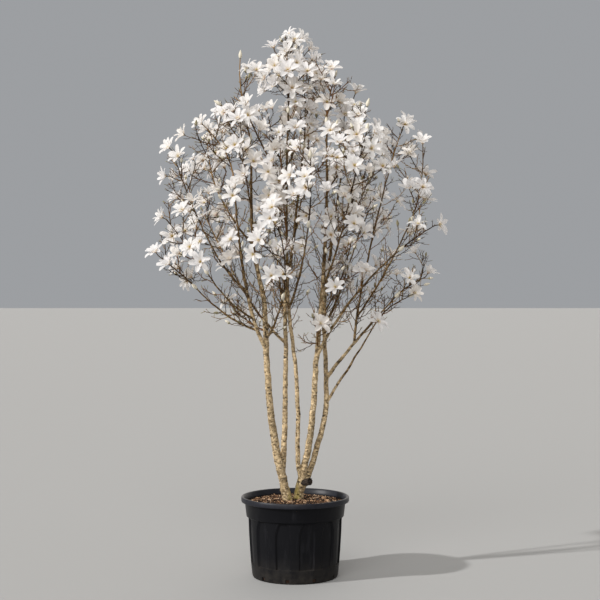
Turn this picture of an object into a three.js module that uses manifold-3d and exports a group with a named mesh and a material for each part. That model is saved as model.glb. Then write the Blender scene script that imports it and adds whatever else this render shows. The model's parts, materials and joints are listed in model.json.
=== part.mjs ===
// A magnolia grown as a clump of five stems in a round black nursery pot, bare of leaves and in full white
// flower. Millimetres, +Z up, and the origin is the middle of the pot's flat underside. Stems and boughs are
// tapering limbs, each cut a hair clear of the limb that carries it. Past their tips, every mass of twigs and
// blossom grows from one leading shoot by one seeded rule, and keeps to its own share of the crown.
import * as THREE from 'three';
import Module from 'manifold-3d';

const wasm = await Module();
wasm.setup();

const GAP = 0.3; // between two pieces that touch

// The pot: a thin wall with a rolled rim, a collar under it, and upright ribs between shallow panels.
const POT_HEIGHT = 385;
const RIM_RADIUS = 260;
const RIM_DEPTH = 25;
const COLLAR_RADIUS = 243;
const COLLAR_FOOT_RADIUS = 235;
const COLLAR_FOOT = 290;
const BODY_RADIUS = 226;
const FOOT_RADIUS = 199;
const FOOT_CHAMFER = [7, 9]; // outwards and up
const BAND_RADIUS = 212.5;
const BAND_HEIGHT = 65;
const PANEL_DEPTH = 4.5;
const WALL = 3.5;
const RIBS = 12;
const RIB_EDGES = [-7.2, -6.4, 6.4, 7.2]; // degrees from the middle of a rib; the panel is past 7

// The compost with its mulch of bark: a low mound that fills the pot.
const MULCH_EDGE = 350;
const MULCH_TOP = 366;
const MULCH_PLATEAU = 75;
const MULCH_SIDES = 24;

// Each stem: its radius at foot and top, how much it flares at the foot, the points it leans through, and the
// stem it forks from with the height of the fork, if any.
const SOIL_LINE = MULCH_TOP + GAP;
const FLARE_REACH = 55; // how far up a stem its flare dies away
const STEMS = [
  {
    name: 'stem_left',
    radius: [20.5, 4],
    flare: 4,
    through: [
      [-36, -18, SOIL_LINE], [-62, -22, 480], [-92, -32, 610], [-116, -46, 795],
      [-135, -63, 1040], [-150, -75, 1330], [-200, -72, 1600], [-213, -58, 2085],
    ],
  },
  {
    name: 'stem_right_inner',
    radius: [17.5, 4],
    flare: 9,
    through: [
      [15, 14, SOIL_LINE], [30, 10, 470], [60, -5, 600], [86, -28, 800],
      [105, -50, 1090], [135, -65, 1445], [150, -74, 1800], [150, -75, 2165],
    ],
  },
  {
    name: 'stem_left_inner',
    radius: [14.5, 4],
    parent: 'stem_left',
    height: 500,
    through: [
      [-54, 12, 605], [-50, 48, 780], [-46, 86, 1080],
      [-48, 106, 1340], [-15, 122, 1580], [40, 132, 2070],
    ],
  },
  {
    name: 'stem_middle',
    radius: [11.5, 4],
    parent: 'stem_right_inner',
    height: 465,
    through: [
      [12, -10, 560], [14, -18, 775], [2, -26, 1000], [-32, -18, 1300],
      [-40, 0, 1560], [-40, 14, 1950], [-34, 13, 2230],
    ],
  },
  {
    name: 'stem_right',
    radius: [15, 4],
    parent: 'stem_right_inner',
    height: 400,
    through: [
      [72, 26, 505], [140, 38, 750], [151, 46, 940],
      [140, 84, 1240], [162, 122, 1480], [230, 165, 1975],
    ],
  },
];

// The old pruning stub low on the right of the clump.
const STUB = { height: 450, reach: [45, -36, 12], radius: [13, 17] };

// Each bough: the limb that carries it, the height where it leaves, the point it bends towards, its tip, and
// its radius at both ends.
const BOUGHS = [
  ['bough_left', 'stem_left', 1095, [-245, -170, 1260], [-290, -125, 1900], 9.5, 3.5],
  ['bough_left_low', 'bough_left', 1185, [-330, -112, 1235], [-465, -92, 1380], 5.5, 3],
  ['bough_left_front', 'bough_left', 1240, [-290, -205, 1280], [-400, -240, 1445], 5, 3],
  ['bough_left_mid', 'bough_left', 1370, [-340, -130, 1450], [-450, -75, 1690], 5.5, 3],
  ['bough_front_left', 'stem_left', 1145, [-95, -150, 1190], [-60, -235, 1330], 7, 3],
  ['bough_back_left', 'stem_left', 1585, [-285, 20, 1680], [-360, 90, 1820], 5.5, 3],
  ['bough_back_left_low', 'stem_left_inner', 1120, [-200, 230, 1240], [-330, 300, 1500], 7, 3],
  ['bough_back', 'stem_left_inner', 1250, [-80, 280, 1370], [-100, 400, 1620], 7, 3],
  ['bough_back_high', 'stem_left_inner', 1620, [15, 270, 1730], [40, 340, 1930], 5.5, 3],
  ['bough_front', 'stem_middle', 1290, [30, -170, 1420], [60, -300, 1660], 6.5, 3],
  ['bough_top_left', 'stem_middle', 1885, [-150, -35, 2030], [-230, -60, 2230], 5, 3],
  ['bough_right_front', 'stem_right_inner', 1060, [240, -180, 1350], [480, -220, 1555], 8, 3],
  ['bough_front_right', 'stem_right_inner', 1390, [200, -220, 1540], [245, -330, 1770], 6, 3],
  ['bough_right', 'stem_right', 950, [320, 10, 1170], [480, 0, 1340], 9, 3],
  ['bough_right_high', 'bough_right', 1120, [300, 120, 1350], [460, 112, 1960], 6, 3],
  ['bough_right_mid', 'bough_right_high', 1250, [420, -80, 1420], [540, -130, 1690], 5, 3],
  ['bough_right_low', 'stem_right', 830, [290, 90, 1040], [400, 130, 1220], 7, 3],
  ['bough_back_right', 'stem_right', 1190, [220, 230, 1340], [300, 370, 1590], 7, 3],
];

// Each mass of twigs: its seed, the limb it goes on from (with a height where it leaves the limb's side and not
// its tip), the tip of its leading shoot, its side twigs and how long they are, and the share of its twig ends
// that are in flower.
const MASSES = [
  ['twigs_crown_tip', 270, 'stem_middle', null, [-20, 5, 2590], 11, 190, 1],
  ['twigs_left_top', 1468, 'stem_left', null, [-350, -90, 2255], 6, 190, 0.9],
  ['twigs_back_top', 465, 'stem_left_inner', null, [40, 215, 2420], 6, 180, 0.8],
  ['twigs_right_inner_top', 1606, 'stem_right_inner', null, [190, -95, 2390], 6, 180, 0.85],
  ['twigs_right_top', 1110, 'stem_right', null, [292, 200, 2340], 6, 190, 0.7],
  ['twigs_left', 1394, 'bough_left', null, [-425, -160, 2145], 6, 190, 0.9],
  ['twigs_left_low', 45, 'bough_left_low', null, [-650, -100, 1540], 5, 170, 0.75],
  ['twigs_left_front', 1343, 'bough_left_front', null, [-592, -260, 1700], 6, 180, 0.75],
  ['twigs_left_mid', 633, 'bough_left_mid', null, [-585, -80, 2040], 6, 190, 0.9],
  ['twigs_front_left', 1670, 'bough_front_left', null, [-95, -400, 1730], 7, 190, 0.5],
  ['twigs_back_left', 1601, 'bough_back_left', null, [-440, 220, 2130], 6, 190, 0.7],
  ['twigs_back_left_low', 768, 'bough_back_left_low', null, [-480, 400, 1790], 6, 200, 0.6],
  ['twigs_back', 940, 'bough_back', null, [-140, 530, 1880], 6, 200, 0.6],
  ['twigs_back_high', 428, 'bough_back_high', null, [70, 450, 2220], 6, 190, 0.7],
  ['twigs_front', 425, 'bough_front', null, [70, -450, 1960], 6, 190, 0.55],
  ['twigs_top_left', 1235, 'bough_top_left', null, [-262, -75, 2478], 6, 150, 0.7],
  ['twigs_right_front', 1458, 'bough_right_front', null, [650, -240, 1675], 5, 170, 0.6],
  ['twigs_front_right', 66, 'bough_front_right', null, [320, -440, 2080], 6, 190, 0.6],
  ['twigs_right', 1152, 'bough_right', null, [628, -10, 1440], 5, 150, 0.5],
  ['twigs_right_high', 1666, 'bough_right_high', null, [532, 130, 2185], 6, 180, 0.75],
  ['twigs_right_mid', 1651, 'bough_right_mid', null, [604, -125, 2050], 6, 180, 0.75],
  ['twigs_right_low', 76, 'bough_right_low', null, [560, 170, 1345], 5, 150, 0.45],
  ['twigs_back_right', 505, 'bough_back_right', null, [430, 450, 1900], 6, 200, 0.6],
  ['twigs_left_front_high', 1710, 'stem_left', 1760, [-250, -330, 2140], 6, 180, 0.8],
  ['twigs_crown_front', 318, 'stem_middle', 1640, [-70, -250, 2080], 6, 170, 0.7],
  ['twigs_right_inner_high', 792, 'stem_right_inner', 1850, [335, -200, 2230], 6, 170, 0.75],
  ['twigs_right_inner_mid', 611, 'stem_right_inner', 1560, [350, -80, 1900], 6, 170, 0.6],
  ['twigs_right_back', 1796, 'stem_right', 1660, [400, 270, 2130], 6, 170, 0.7],
  ['twigs_crown_back', 1427, 'stem_left_inner', 1830, [-140, 290, 2270], 6, 180, 0.7],
  ['twigs_low_left', 995, 'stem_left', 1180, [-312, 0, 1308], 3, 90, 0.4],
  ['twigs_low_right', 995, 'stem_right', 1270, [268, 15, 1590], 6, 150, 0.5],
  ['twigs_low_front', 613, 'stem_right_inner', 1110, [108, -185, 1205], 3, 100, 0.3],
];

// No side twig or blossom has its middle outside the crown: [height, half width], and its depth over its width.
const CROWN = [
  [1050, 300], [1200, 370], [1330, 550], [1440, 640], [1700, 680], [2060, 620], [2170, 540],
  [2240, 420], [2330, 330], [2440, 235], [2560, 125], [2630, 40],
];
const CROWN_MIDDLE = 12;
const CROWN_DEPTH = 0.92;

// Twigs are three-sided. The radii are at the root inside the parent shoot, past it, and at the end.
const LEADER_RADII = [4, 3.6, 2];
const TWIG_RADII = [1.2, 2.4, 1.6];
const SPUR_RADII = [1, 1.8, 1.4];

// The leading shoot bends at a point that is this share of the way to its tip.
const LEADER_STEPS = 4;
const LEADER_BEND = 0.45;
const SIDE_LEADER_BEND = { level: 0.62, rise: 0.36 };

// Side twigs go round the leading shoot by the golden turn. Ranges are shares of the shoot, radians off it, and
// shares of the mass's reach: first by the place on the shoot, then by chance.
const GOLDEN_TURN = 2.39996;
const TWIG_PLACES = [0.1, 0.92];
const TWIG_SLANT = [0.75, 1.1];
const TWIG_LENGTH_AT = [1.15, 0.65];
const TWIG_LENGTH_BY_CHANCE = [0.75, 1.2];
const TWIG_STEPS = 2;
const TWIG_LIFT = 0.3; // how much each step of a twig turns up towards the light
const TWIG_CLEARANCE = 1;
const SHORTEST_TWIG = 35;
const SHORTER_TRIES = [1, 0.7, 0.45]; // of the length, for a twig that doesn't fit

// A spur leaves its twig along the twig's own direction plus this share of one square to it.
const SPUR_PLACES = [0.45, 0.7];
const SPUR_SPREAD = 0.9;
const SPUR_LENGTH = 0.5; // of its twig's
const SPUR_BLOOM = 0.7; // of its mass's

// A blossom is a cupped star of tepals on a short stalk. It faces along its twig, away from the crown's middle,
// to the light and a little by chance, in these weights.
const BLOSSOM_RADIUS = [50, 60];
const SMALLER_TRY = 0.85; // of the radius, for a blossom that doesn't fit
const TEPALS = 6;
const STALK = 14;
const RECEPTACLE = 9;
const BLOSSOM_SPACING = 66; // least distance between two blossoms of one mass
const FACING = { twig: 0.6, outward: 0.4, light: 0.55, chance: 0.6 };
const LIGHT = new THREE.Vector3(-0.3, -0.75, 0.4);
const TEPAL_LIFTS = [0.3, 0.12]; // tips stand up by turns

// Where a blossom needs room round it, in shares of its radius: [out, lift, places on the ring, room].
const HEART_CLEARANCE = 9;
const BLOSSOM_RINGS = [[0.35, 0.06, 5, HEART_CLEARANCE], [0.7, 0.12, 8, HEART_CLEARANCE], [1, 0.16, 12, 2.5]];

// A flower bud is a pointed egg: [distance past the twig's end, radius].
const BUD = [[3, 2.4], [14, 7.5], [35, 0.8]];
const BUD_SHARE = 0.25; // of the ends that aren't in flower

const UP = new THREE.Vector3(0, 0, 1);

// ---- Solids ----

// A closed solid from corner points and triangles that face out.
function solid(corners, triangles) {
  const mesh = new wasm.Mesh({
    numProp: 3,
    vertProperties: new Float32Array(corners.flatMap((c) => [c.x, c.y, c.z])),
    triVerts: new Uint32Array(triangles.flat()),
  });
  return new wasm.Manifold(mesh);
}

// The largest body of a cut solid: a scrap that the cut leaves is dropped.
function largest(made) {
  return made.decompose().reduce((best, body) => (body.volume() > best.volume() ? body : best));
}

function toGeometry(made) {
  const mesh = made.getMesh();
  const geometry = new THREE.BufferGeometry();
  geometry.setAttribute('position', new THREE.BufferAttribute(mesh.vertProperties, 3));
  geometry.setIndex(new THREE.BufferAttribute(mesh.triVerts, 1));
  geometry.computeVertexNormals();
  return geometry;
}

const model = new THREE.Group();

function addPiece(name, made, material) {
  const piece = new THREE.Mesh(toGeometry(made), material);
  piece.name = name;
  model.add(piece);
}

function flatEnd(corners, triangles, { first, sides }) {
  for (let k = 1; k < sides - 1; k += 1) {
    triangles.push([first, first + k, first + k + 1]);
  }
}

// Rings of corners round a chain of points, with a radius at each point. The start is flat and square to
// startAlong, and finish closes the far end.
function sweep(points, radii, sides, startAlong = chainDirection(points, 0), finish = flatEnd) {
  const corners = [];
  const triangles = [];
  const across = Math.abs(startAlong.x) < Math.abs(startAlong.z) ? new THREE.Vector3(1, 0, 0) : UP.clone();
  let over;
  points.forEach((point, i) => {
    const along = i === 0 ? startAlong : chainDirection(points, i);
    across.addScaledVector(along, -across.dot(along)).normalize();
    over = along.clone().cross(across);
    for (let k = 0; k < sides; k += 1) {
      const angle = (2 * Math.PI * k) / sides;
      const corner = point.clone().addScaledVector(across, radii[i] * Math.cos(angle));
      corners.push(corner.addScaledVector(over, radii[i] * Math.sin(angle)));
    }
  });
  const first = sides * (points.length - 1);
  for (let ring = 0; ring < first; ring += sides) {
    for (let k = 0; k < sides; k += 1) {
      const a = ring + k;
      const b = ring + ((k + 1) % sides);
      triangles.push([a, b, b + sides], [a, b + sides, a + sides]);
    }
  }
  for (let k = 1; k < sides - 1; k += 1) {
    triangles.push([0, k + 1, k]);
  }
  finish(corners, triangles, { first, sides, across, over });
  return solid(corners, triangles);
}

// A solid of revolution about Z from [radius, height] rings; the first and last lie on the axis.
function revolve(profile, angles, radiusAt) {
  const count = angles.length;
  const corners = [new THREE.Vector3(0, 0, profile[0][1])];
  const triangles = [];
  profile.slice(1, -1).forEach((ring) => {
    angles.forEach((angle, k) => {
      const radius = radiusAt(ring, k);
      corners.push(new THREE.Vector3(radius * Math.cos(angle), radius * Math.sin(angle), ring[1]));
    });
  });
  corners.push(new THREE.Vector3(0, 0, profile[profile.length - 1][1]));
  const end = corners.length - 1;
  for (let k = 0; k < count; k += 1) {
    const next = (k + 1) % count;
    triangles.push([0, 1 + next, 1 + k], [end, end - count + k, end - count + next]);
    for (let a = 1 + k, b = 1 + next; a + count < end; a += count, b += count) {
      triangles.push([a, b, b + count], [a, b + count, a + count]);
    }
  }
  return solid(corners, triangles);
}

// ---- Chains of points ----

function chainDirection(points, i) {
  const ahead = points[Math.min(i + 1, points.length - 1)];
  const behind = points[Math.max(i - 1, 0)];
  return ahead.clone().sub(behind).normalize();
}

function sample(curve, steps) {
  return Array.from({ length: steps + 1 }, (_, i) => curve.getPoint(i / steps));
}

function vector(numbers) {
  return new THREE.Vector3(...numbers);
}

function between([low, high], share) {
  return low + (high - low) * share;
}

// The point and direction at a share t of a chain, counted in its steps.
function along(points, t) {
  const place = Math.min(t, 0.9999) * (points.length - 1);
  const i = Math.floor(place);
  const direction = points[i + 1].clone().sub(points[i]);
  return { point: points[i].clone().addScaledVector(direction, place - i), direction: direction.normalize() };
}

// Where a rising limb passes a height.
function atHeight(limb, height) {
  const i = limb.points.findIndex((p, k) => k > 0 && p.z >= height);
  const low = limb.points[i - 1];
  const high = limb.points[i];
  return low.clone().lerp(high, (height - low.z) / (high.z - low.z));
}

// Distance from a point to a chain, less the chain's radius there if it has radii.
function distanceTo(point, points, radii) {
  let least = Infinity;
  for (let i = 0; i + 1 < points.length; i += 1) {
    const a = points[i];
    const b = points[i + 1];
    const dx = b.x - a.x;
    const dy = b.y - a.y;
    const dz = b.z - a.z;
    const px = point.x - a.x;
    const py = point.y - a.y;
    const pz = point.z - a.z;
    const share = Math.min(1, Math.max(0, (px * dx + py * dy + pz * dz) / (dx * dx + dy * dy + dz * dz)));
    const away = Math.hypot(px - share * dx, py - share * dy, pz - share * dz);
    const radius = radii ? radii[i] + share * (radii[i + 1] - radii[i]) : 0;
    least = Math.min(least, away - radius);
  }
  return least;
}

// ---- Pot and compost ----

function makePot() {
  const wallTop = POT_HEIGHT - RIM_DEPTH;
  const panelInner = BODY_RADIUS - PANEL_DEPTH - WALL;
  const bandInner = BAND_RADIUS - PANEL_DEPTH - WALL;
  const profile = [
    [0, 0],
    [FOOT_RADIUS, 0],
    [FOOT_RADIUS + FOOT_CHAMFER[0], FOOT_CHAMFER[1]],
    [BAND_RADIUS, BAND_HEIGHT],
    [BAND_RADIUS, BAND_HEIGHT + 2, PANEL_DEPTH],
    [BODY_RADIUS - 0.5, COLLAR_FOOT - 5, PANEL_DEPTH],
    [BODY_RADIUS, COLLAR_FOOT - 3],
    [COLLAR_FOOT_RADIUS, COLLAR_FOOT],
    [COLLAR_RADIUS, wallTop],
    [RIM_RADIUS, wallTop + 2],
    [RIM_RADIUS, POT_HEIGHT - 4],
    [RIM_RADIUS - 4, POT_HEIGHT],
    [RIM_RADIUS - 10, POT_HEIGHT],
    [COLLAR_RADIUS - WALL, wallTop],
    [COLLAR_FOOT_RADIUS - WALL, COLLAR_FOOT + 3],
    [panelInner, COLLAR_FOOT - 5],
    [bandInner, BAND_HEIGHT],
    [FOOT_RADIUS - WALL, WALL],
    [0, WALL],
  ];
  const angles = [];
  for (let rib = 0; rib < RIBS; rib += 1) {
    RIB_EDGES.forEach((edge) => angles.push(THREE.MathUtils.degToRad((rib * 360) / RIBS + edge)));
  }
  const inPanel = (k) => k % RIB_EDGES.length === 0 || k % RIB_EDGES.length === RIB_EDGES.length - 1;
  return revolve(profile, angles, ([radius, , sunk], k) => radius - (sunk && inPanel(k) ? sunk : 0));
}

function makeMulch() {
  const inset = 2.6; // keeps the corners of the mound inside the flat sides of the pot's wall
  const wallTop = POT_HEIGHT - RIM_DEPTH;
  const edgeShare = (MULCH_EDGE - COLLAR_FOOT) / (wallTop - COLLAR_FOOT);
  const edgeRadius = between([COLLAR_FOOT_RADIUS, COLLAR_RADIUS], edgeShare) - WALL - inset;
  const mound = (share) => [
    between([edgeRadius, MULCH_PLATEAU], share),
    between([MULCH_EDGE, MULCH_TOP], Math.sin((share * Math.PI) / 2)),
  ];
  const profile = [
    [0, WALL + GAP],
    [FOOT_RADIUS - WALL - inset, WALL + GAP],
    [BAND_RADIUS - PANEL_DEPTH - WALL - inset, BAND_HEIGHT],
    [BODY_RADIUS - PANEL_DEPTH - WALL - inset, COLLAR_FOOT - 5],
    [COLLAR_FOOT_RADIUS - WALL - inset, COLLAR_FOOT + 3.5],
    mound(0),
    mound(0.5),
    mound(1),
    [0, MULCH_TOP],
  ];
  const angles = Array.from({ length: MULCH_SIDES }, (_, k) => (2 * Math.PI * k) / MULCH_SIDES);
  return revolve(profile, angles, ([radius]) => radius);
}

// ---- Limbs ----

const limbs = new Map();

function taper(points, [foot, tip], flare) {
  const lengths = [0];
  points.slice(1).forEach((p, i) => lengths.push(lengths[i] + p.distanceTo(points[i])));
  const total = lengths[lengths.length - 1];
  return lengths.map((l) => between([foot, tip], l / total) + flare * Math.exp(-l / FLARE_REACH));
}

for (const { name, radius, flare = 0, parent, height, through } of STEMS) {
  const foot = parent ? [atHeight(limbs.get(parent), height)] : [];
  const curve = new THREE.CatmullRomCurve3([...foot, ...through.map(vector)], false, 'catmullrom', 0.5);
  const points = sample(curve, 2 * (foot.length + through.length));
  limbs.set(name, { name, parent, points, radii: taper(points, radius, flare), sides: 8 });
}

for (const [name, parent, height, via, tip, foot, end] of BOUGHS) {
  const curve = new THREE.QuadraticBezierCurve3(atHeight(limbs.get(parent), height), vector(via), vector(tip));
  const points = sample(curve, 5);
  limbs.set(name, { name, parent, points, radii: taper(points, [foot, end], 0), sides: 6 });
}

// A limb with the gap round it, to cut what leaves its side.
function widened({ points, radii, sides }) {
  const wider = radii.map((r) => r + GAP / Math.cos(Math.PI / sides));
  return sweep(points, wider, sides);
}

function makeStub(extra) {
  const foot = atHeight(limbs.get('stem_right_inner'), STUB.height);
  const radii = STUB.radius.map((r) => r + extra);
  return sweep([foot, foot.clone().add(vector(STUB.reach))], radii, 8);
}

// A stem's foot is flat on the mulch. A limb that forks from another is cut back from it.
function makeLimb(limb) {
  if (!limb.parent) {
    const made = sweep(limb.points, limb.radii, limb.sides, UP);
    return limb.name === 'stem_right_inner' ? made.add(makeStub(0)) : made;
  }
  let made = sweep(limb.points, limb.radii, limb.sides).subtract(widened(limbs.get(limb.parent)));
  if (limb.name === 'stem_right') {
    made = made.subtract(makeStub(2 * GAP));
  }
  return largest(made);
}

// ---- Twigs and blossom ----

// A stream of numbers from 0 to 1 that is the same on every run.
function seeded(seed) {
  let state = (seed * 2654435761) >>> 0;
  return () => {
    state = (state + 0x6d2b79f5) >>> 0;
    let mixed = Math.imul(state ^ (state >>> 15), state | 1);
    mixed ^= mixed + Math.imul(mixed ^ (mixed >>> 7), mixed | 61);
    return ((mixed ^ (mixed >>> 14)) >>> 0) / 4294967296;
  };
}

// The leading shoot of a mass: it goes on from its bough's tip, or leaves a limb's side and turns up.
const masses = MASSES.map(([name, seed, limbName, height, tipAt, twigs, reach, bloom]) => {
  const limb = limbs.get(limbName);
  const tip = vector(tipAt);
  const last = limb.points.length - 1;
  const fromSide = height !== null;
  let foot;
  let via;
  let heading;
  if (fromSide) {
    foot = atHeight(limb, height);
    const rise = tip.clone().sub(foot);
    const { level, rise: up } = SIDE_LEADER_BEND;
    via = foot.clone().add(new THREE.Vector3(level * rise.x, level * rise.y, up * rise.z));
  } else {
    heading = chainDirection(limb.points, last);
    foot = limb.points[last].clone().addScaledVector(heading, GAP);
    via = foot.clone().addScaledVector(heading, LEADER_BEND * foot.distanceTo(tip));
  }
  const points = sample(new THREE.QuadraticBezierCurve3(foot, via, tip), LEADER_STEPS);
  return { name, seed, limb, fromSide, heading, points, twigs, reach, bloom };
});

// The room round a point: to the edge of its mass's share of the crown, or to the nearest limb's bark.
function room(point, mass) {
  const own = distanceTo(point, mass.points);
  let least = Infinity;
  for (const other of masses) {
    if (other !== mass) {
      least = Math.min(least, (distanceTo(point, other.points) - own) / 2);
    }
  }
  for (const limb of limbs.values()) {
    least = Math.min(least, distanceTo(point, limb.points, limb.radii));
  }
  return least;
}

function insideCrown(point) {
  const above = CROWN.findIndex(([height]) => height > point.z);
  if (above < 1) {
    return false;
  }
  const [low, high] = [CROWN[above - 1], CROWN[above]];
  const half = between([low[1], high[1]], (point.z - low[0]) / (high[0] - low[0]));
  return Math.hypot(point.x - CROWN_MIDDLE, point.y / CROWN_DEPTH) < half;
}

// A direction square to another one, at a turn round it.
function squareTo(direction, turn) {
  const level = new THREE.Vector3(direction.y, -direction.x, 0.001).normalize();
  const other = direction.clone().cross(level);
  return level.multiplyScalar(Math.cos(turn)).addScaledVector(other, Math.sin(turn)).normalize();
}

// A shoot of even steps that turns up as it grows.
function shoot(foot, heading, length, steps) {
  const points = [foot.clone()];
  const direction = heading.clone();
  for (let i = 0; i < steps; i += 1) {
    points.push(points[i].clone().addScaledVector(direction, length / steps));
    direction.addScaledVector(UP, TWIG_LIFT).normalize();
  }
  return points;
}

function fits(points, radius, mass) {
  const shares = [0.25, 0.5, 0.75, 1];
  const spots = points.slice(1).flatMap((p, i) => shares.map((share) => points[i].clone().lerp(p, share)));
  return insideCrown(points[points.length - 1]) && spots.every((p) => room(p, mass) > radius + TWIG_CLEARANCE);
}

// The longest of three lengths of a shoot that stays in its mass's share, or nothing.
function shootThatFits(foot, heading, length, steps, radius, mass) {
  for (const share of SHORTER_TRIES) {
    const points = shoot(foot, heading, share * length, steps);
    if (share * length >= SHORTEST_TWIG && fits(points, radius, mass)) {
      return points;
    }
  }
  return null;
}

// Whether a blossom's tepals stay in the mass's share and off every limb.
function blossomFits({ centre, facing, radius }, mass) {
  const clear = ([out, lift, count, least]) =>
    Array.from({ length: count }, (_, k) => squareTo(facing, (2 * Math.PI * k) / count))
      .map((side) => centre.clone().addScaledVector(side, out * radius).addScaledVector(facing, lift * radius))
      .every((p) => room(p, mass) > least);
  return room(centre, mass) > HEART_CLEARANCE && BLOSSOM_RINGS.every(clear);
}

// A twig's end: a blossom where it is due and fits, sometimes a flower bud, or nothing.
function endOf(points, due, [size, turn, wobble, budRoll], blossoms, mass) {
  const end = points[points.length - 1];
  const heading = chainDirection(points, points.length - 1);
  const outward = new THREE.Vector3(end.x, end.y, 0).normalize();
  const facing = heading.clone().multiplyScalar(FACING.twig).addScaledVector(outward, FACING.outward);
  facing.addScaledVector(LIGHT, FACING.light);
  facing.addScaledVector(squareTo(heading, 2 * Math.PI * turn), FACING.chance * wobble).normalize();
  const centre = end.clone().addScaledVector(facing, STALK + RECEPTACLE);
  const radius = between(BLOSSOM_RADIUS, size);
  const alone = blossoms.every((b) => b.centre.distanceTo(centre) > BLOSSOM_SPACING);
  if (due && alone) {
    const fitting = [1, SMALLER_TRY].map((share) => ({ centre, facing, radius: share * radius }))
      .find((blossom) => blossomFits(blossom, mass));
    if (fitting) {
      blossoms.push(fitting);
      return { blossom: fitting };
    }
  }
  const [, [waistReach, waistRadius], [tipReach]] = BUD;
  const budFits = [waistReach, tipReach]
    .map((reach) => end.clone().addScaledVector(heading, reach))
    .every((p) => room(p, mass) > waistRadius + TWIG_CLEARANCE);
  return { bud: budRoll < BUD_SHARE && budFits };
}

// All the twigs of a mass with what ends them, by the seeded rule.
function grow(mass) {
  const random = seeded(mass.seed);
  const draw = (count) => Array.from({ length: count }, random);
  const blossoms = [];
  const leader = { points: mass.points, radii: LEADER_RADII };
  leader.end = endOf(leader.points, random() < mass.bloom, draw(4), blossoms, mass);
  const twigs = [leader];
  for (let k = 0; k < mass.twigs; k += 1) {
    const [place, turn, lean, size, spurPlace, spurTurn, twigRoll, spurRoll] = draw(8);
    const twigEnd = draw(4);
    const spurEnd = draw(4);
    const t = between(TWIG_PLACES, (k + place) / mass.twigs);
    const { point, direction } = along(mass.points, t);
    const slant = between(TWIG_SLANT, lean);
    const heading = squareTo(direction, k * GOLDEN_TURN + turn).multiplyScalar(Math.sin(slant));
    heading.addScaledVector(direction, Math.cos(slant)).normalize();
    const length = mass.reach * between(TWIG_LENGTH_AT, t) * between(TWIG_LENGTH_BY_CHANCE, size);
    const twig = shootThatFits(point, heading, length, TWIG_STEPS, TWIG_RADII[1], mass);
    if (twig === null) {
      continue;
    }
    const end = endOf(twig, twigRoll < mass.bloom, twigEnd, blossoms, mass);
    twigs.push({ points: twig, radii: TWIG_RADII, end });
    const fork = along(twig, between(SPUR_PLACES, spurPlace));
    const spurHeading = squareTo(fork.direction, 2 * Math.PI * spurTurn).multiplyScalar(SPUR_SPREAD);
    spurHeading.add(fork.direction).normalize();
    const spur = shootThatFits(fork.point, spurHeading, SPUR_LENGTH * length, 1, SPUR_RADII[1], mass);
    if (spur !== null && spurRoll < SPUR_BLOOM * mass.bloom) {
      const spurTip = endOf(spur, true, spurEnd, blossoms, mass);
      if (spurTip.blossom) {
        twigs.push({ points: spur, radii: SPUR_RADII, end: spurTip });
      }
    }
  }
  return twigs;
}

// Closes a stalk with a blossom: a ring of tepal corners, joined to the stalk below and to one point above.
function blossomEnd({ centre, facing, radius }) {
  return (corners, triangles, { first, sides, across, over }) => {
    const rim = corners.length;
    const at = (angle, out, lift) =>
      centre
        .clone()
        .addScaledVector(across, out * radius * Math.cos(angle))
        .addScaledVector(over, out * radius * Math.sin(angle))
        .addScaledVector(facing, lift * radius);
    const half = Math.PI / TEPALS;
    for (let k = 0; k < TEPALS; k += 1) {
      const lift = TEPAL_LIFTS[k % TEPAL_LIFTS.length];
      corners.push(at((2 * k - 1) * half, 0.22, 0.02));
      corners.push(at((2 * k - 0.5) * half, 0.74, 0.8 * lift));
      corners.push(at(2 * k * half, 1, lift));
      corners.push(at((2 * k + 0.5) * half, 0.74, 0.8 * lift));
    }
    const count = 4 * TEPALS;
    const top = corners.push(at(0, 0, 0.06)) - 1;
    const sector = count / sides;
    for (let k = 0; k < count; k += 1) {
      const a = rim + k;
      const b = rim + ((k + 1) % count);
      const stalkCorner = first + Math.floor(k / sector);
      triangles.push([top, a, b], [stalkCorner, b, a]);
      if ((k + 1) % sector === 0) {
        triangles.push([stalkCorner, first + ((Math.floor(k / sector) + 1) % sides), b]);
      }
    }
  };
}

function makeTwig({ points, radii, end }, startAlong) {
  const last = points.length - 1;
  const chain = points.slice();
  const chainRadii = points.map((_, i) => (i === 0 ? radii[0] : between([radii[1], radii[2]], (i - 1) / last)));
  if (end.blossom) {
    chain.push(points[last].clone().addScaledVector(end.blossom.facing, STALK));
    chainRadii.push(radii[2] + 0.6);
    return sweep(chain, chainRadii, 3, startAlong, blossomEnd(end.blossom));
  }
  if (end.bud) {
    const heading = chainDirection(points, last);
    BUD.forEach(([reach, radius]) => {
      chain.push(points[last].clone().addScaledVector(heading, reach));
      chainRadii.push(radius);
    });
  }
  return sweep(chain, chainRadii, 3, startAlong);
}

function makeMass(mass) {
  const [leader, ...twigs] = grow(mass);
  const made = twigs.reduce((whole, twig) => whole.add(makeTwig(twig)), makeTwig(leader, mass.heading));
  return largest(mass.fromSide ? made.subtract(widened(mass.limb)) : made);
}

// ---- The whole plant ----

const plastic = new THREE.MeshStandardMaterial({ color: 0x17181a, roughness: 0.55, metalness: 0 });
const mulch = new THREE.MeshStandardMaterial({ color: 0x6b4a38, roughness: 0.95, metalness: 0 });
const bark = new THREE.MeshStandardMaterial({ color: 0xa8926a, roughness: 0.85, metalness: 0 });
const blossomWhite = new THREE.MeshStandardMaterial({ color: 0xf6f3ee, roughness: 0.6, metalness: 0 });

addPiece('pot', makePot(), plastic);
addPiece('mulch', makeMulch(), mulch);
for (const limb of limbs.values()) {
  addPiece(limb.name, makeLimb(limb), bark);
}
for (const mass of masses) {
  addPiece(mass.name, makeMass(mass), blossomWhite);
}

export default model;
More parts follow.
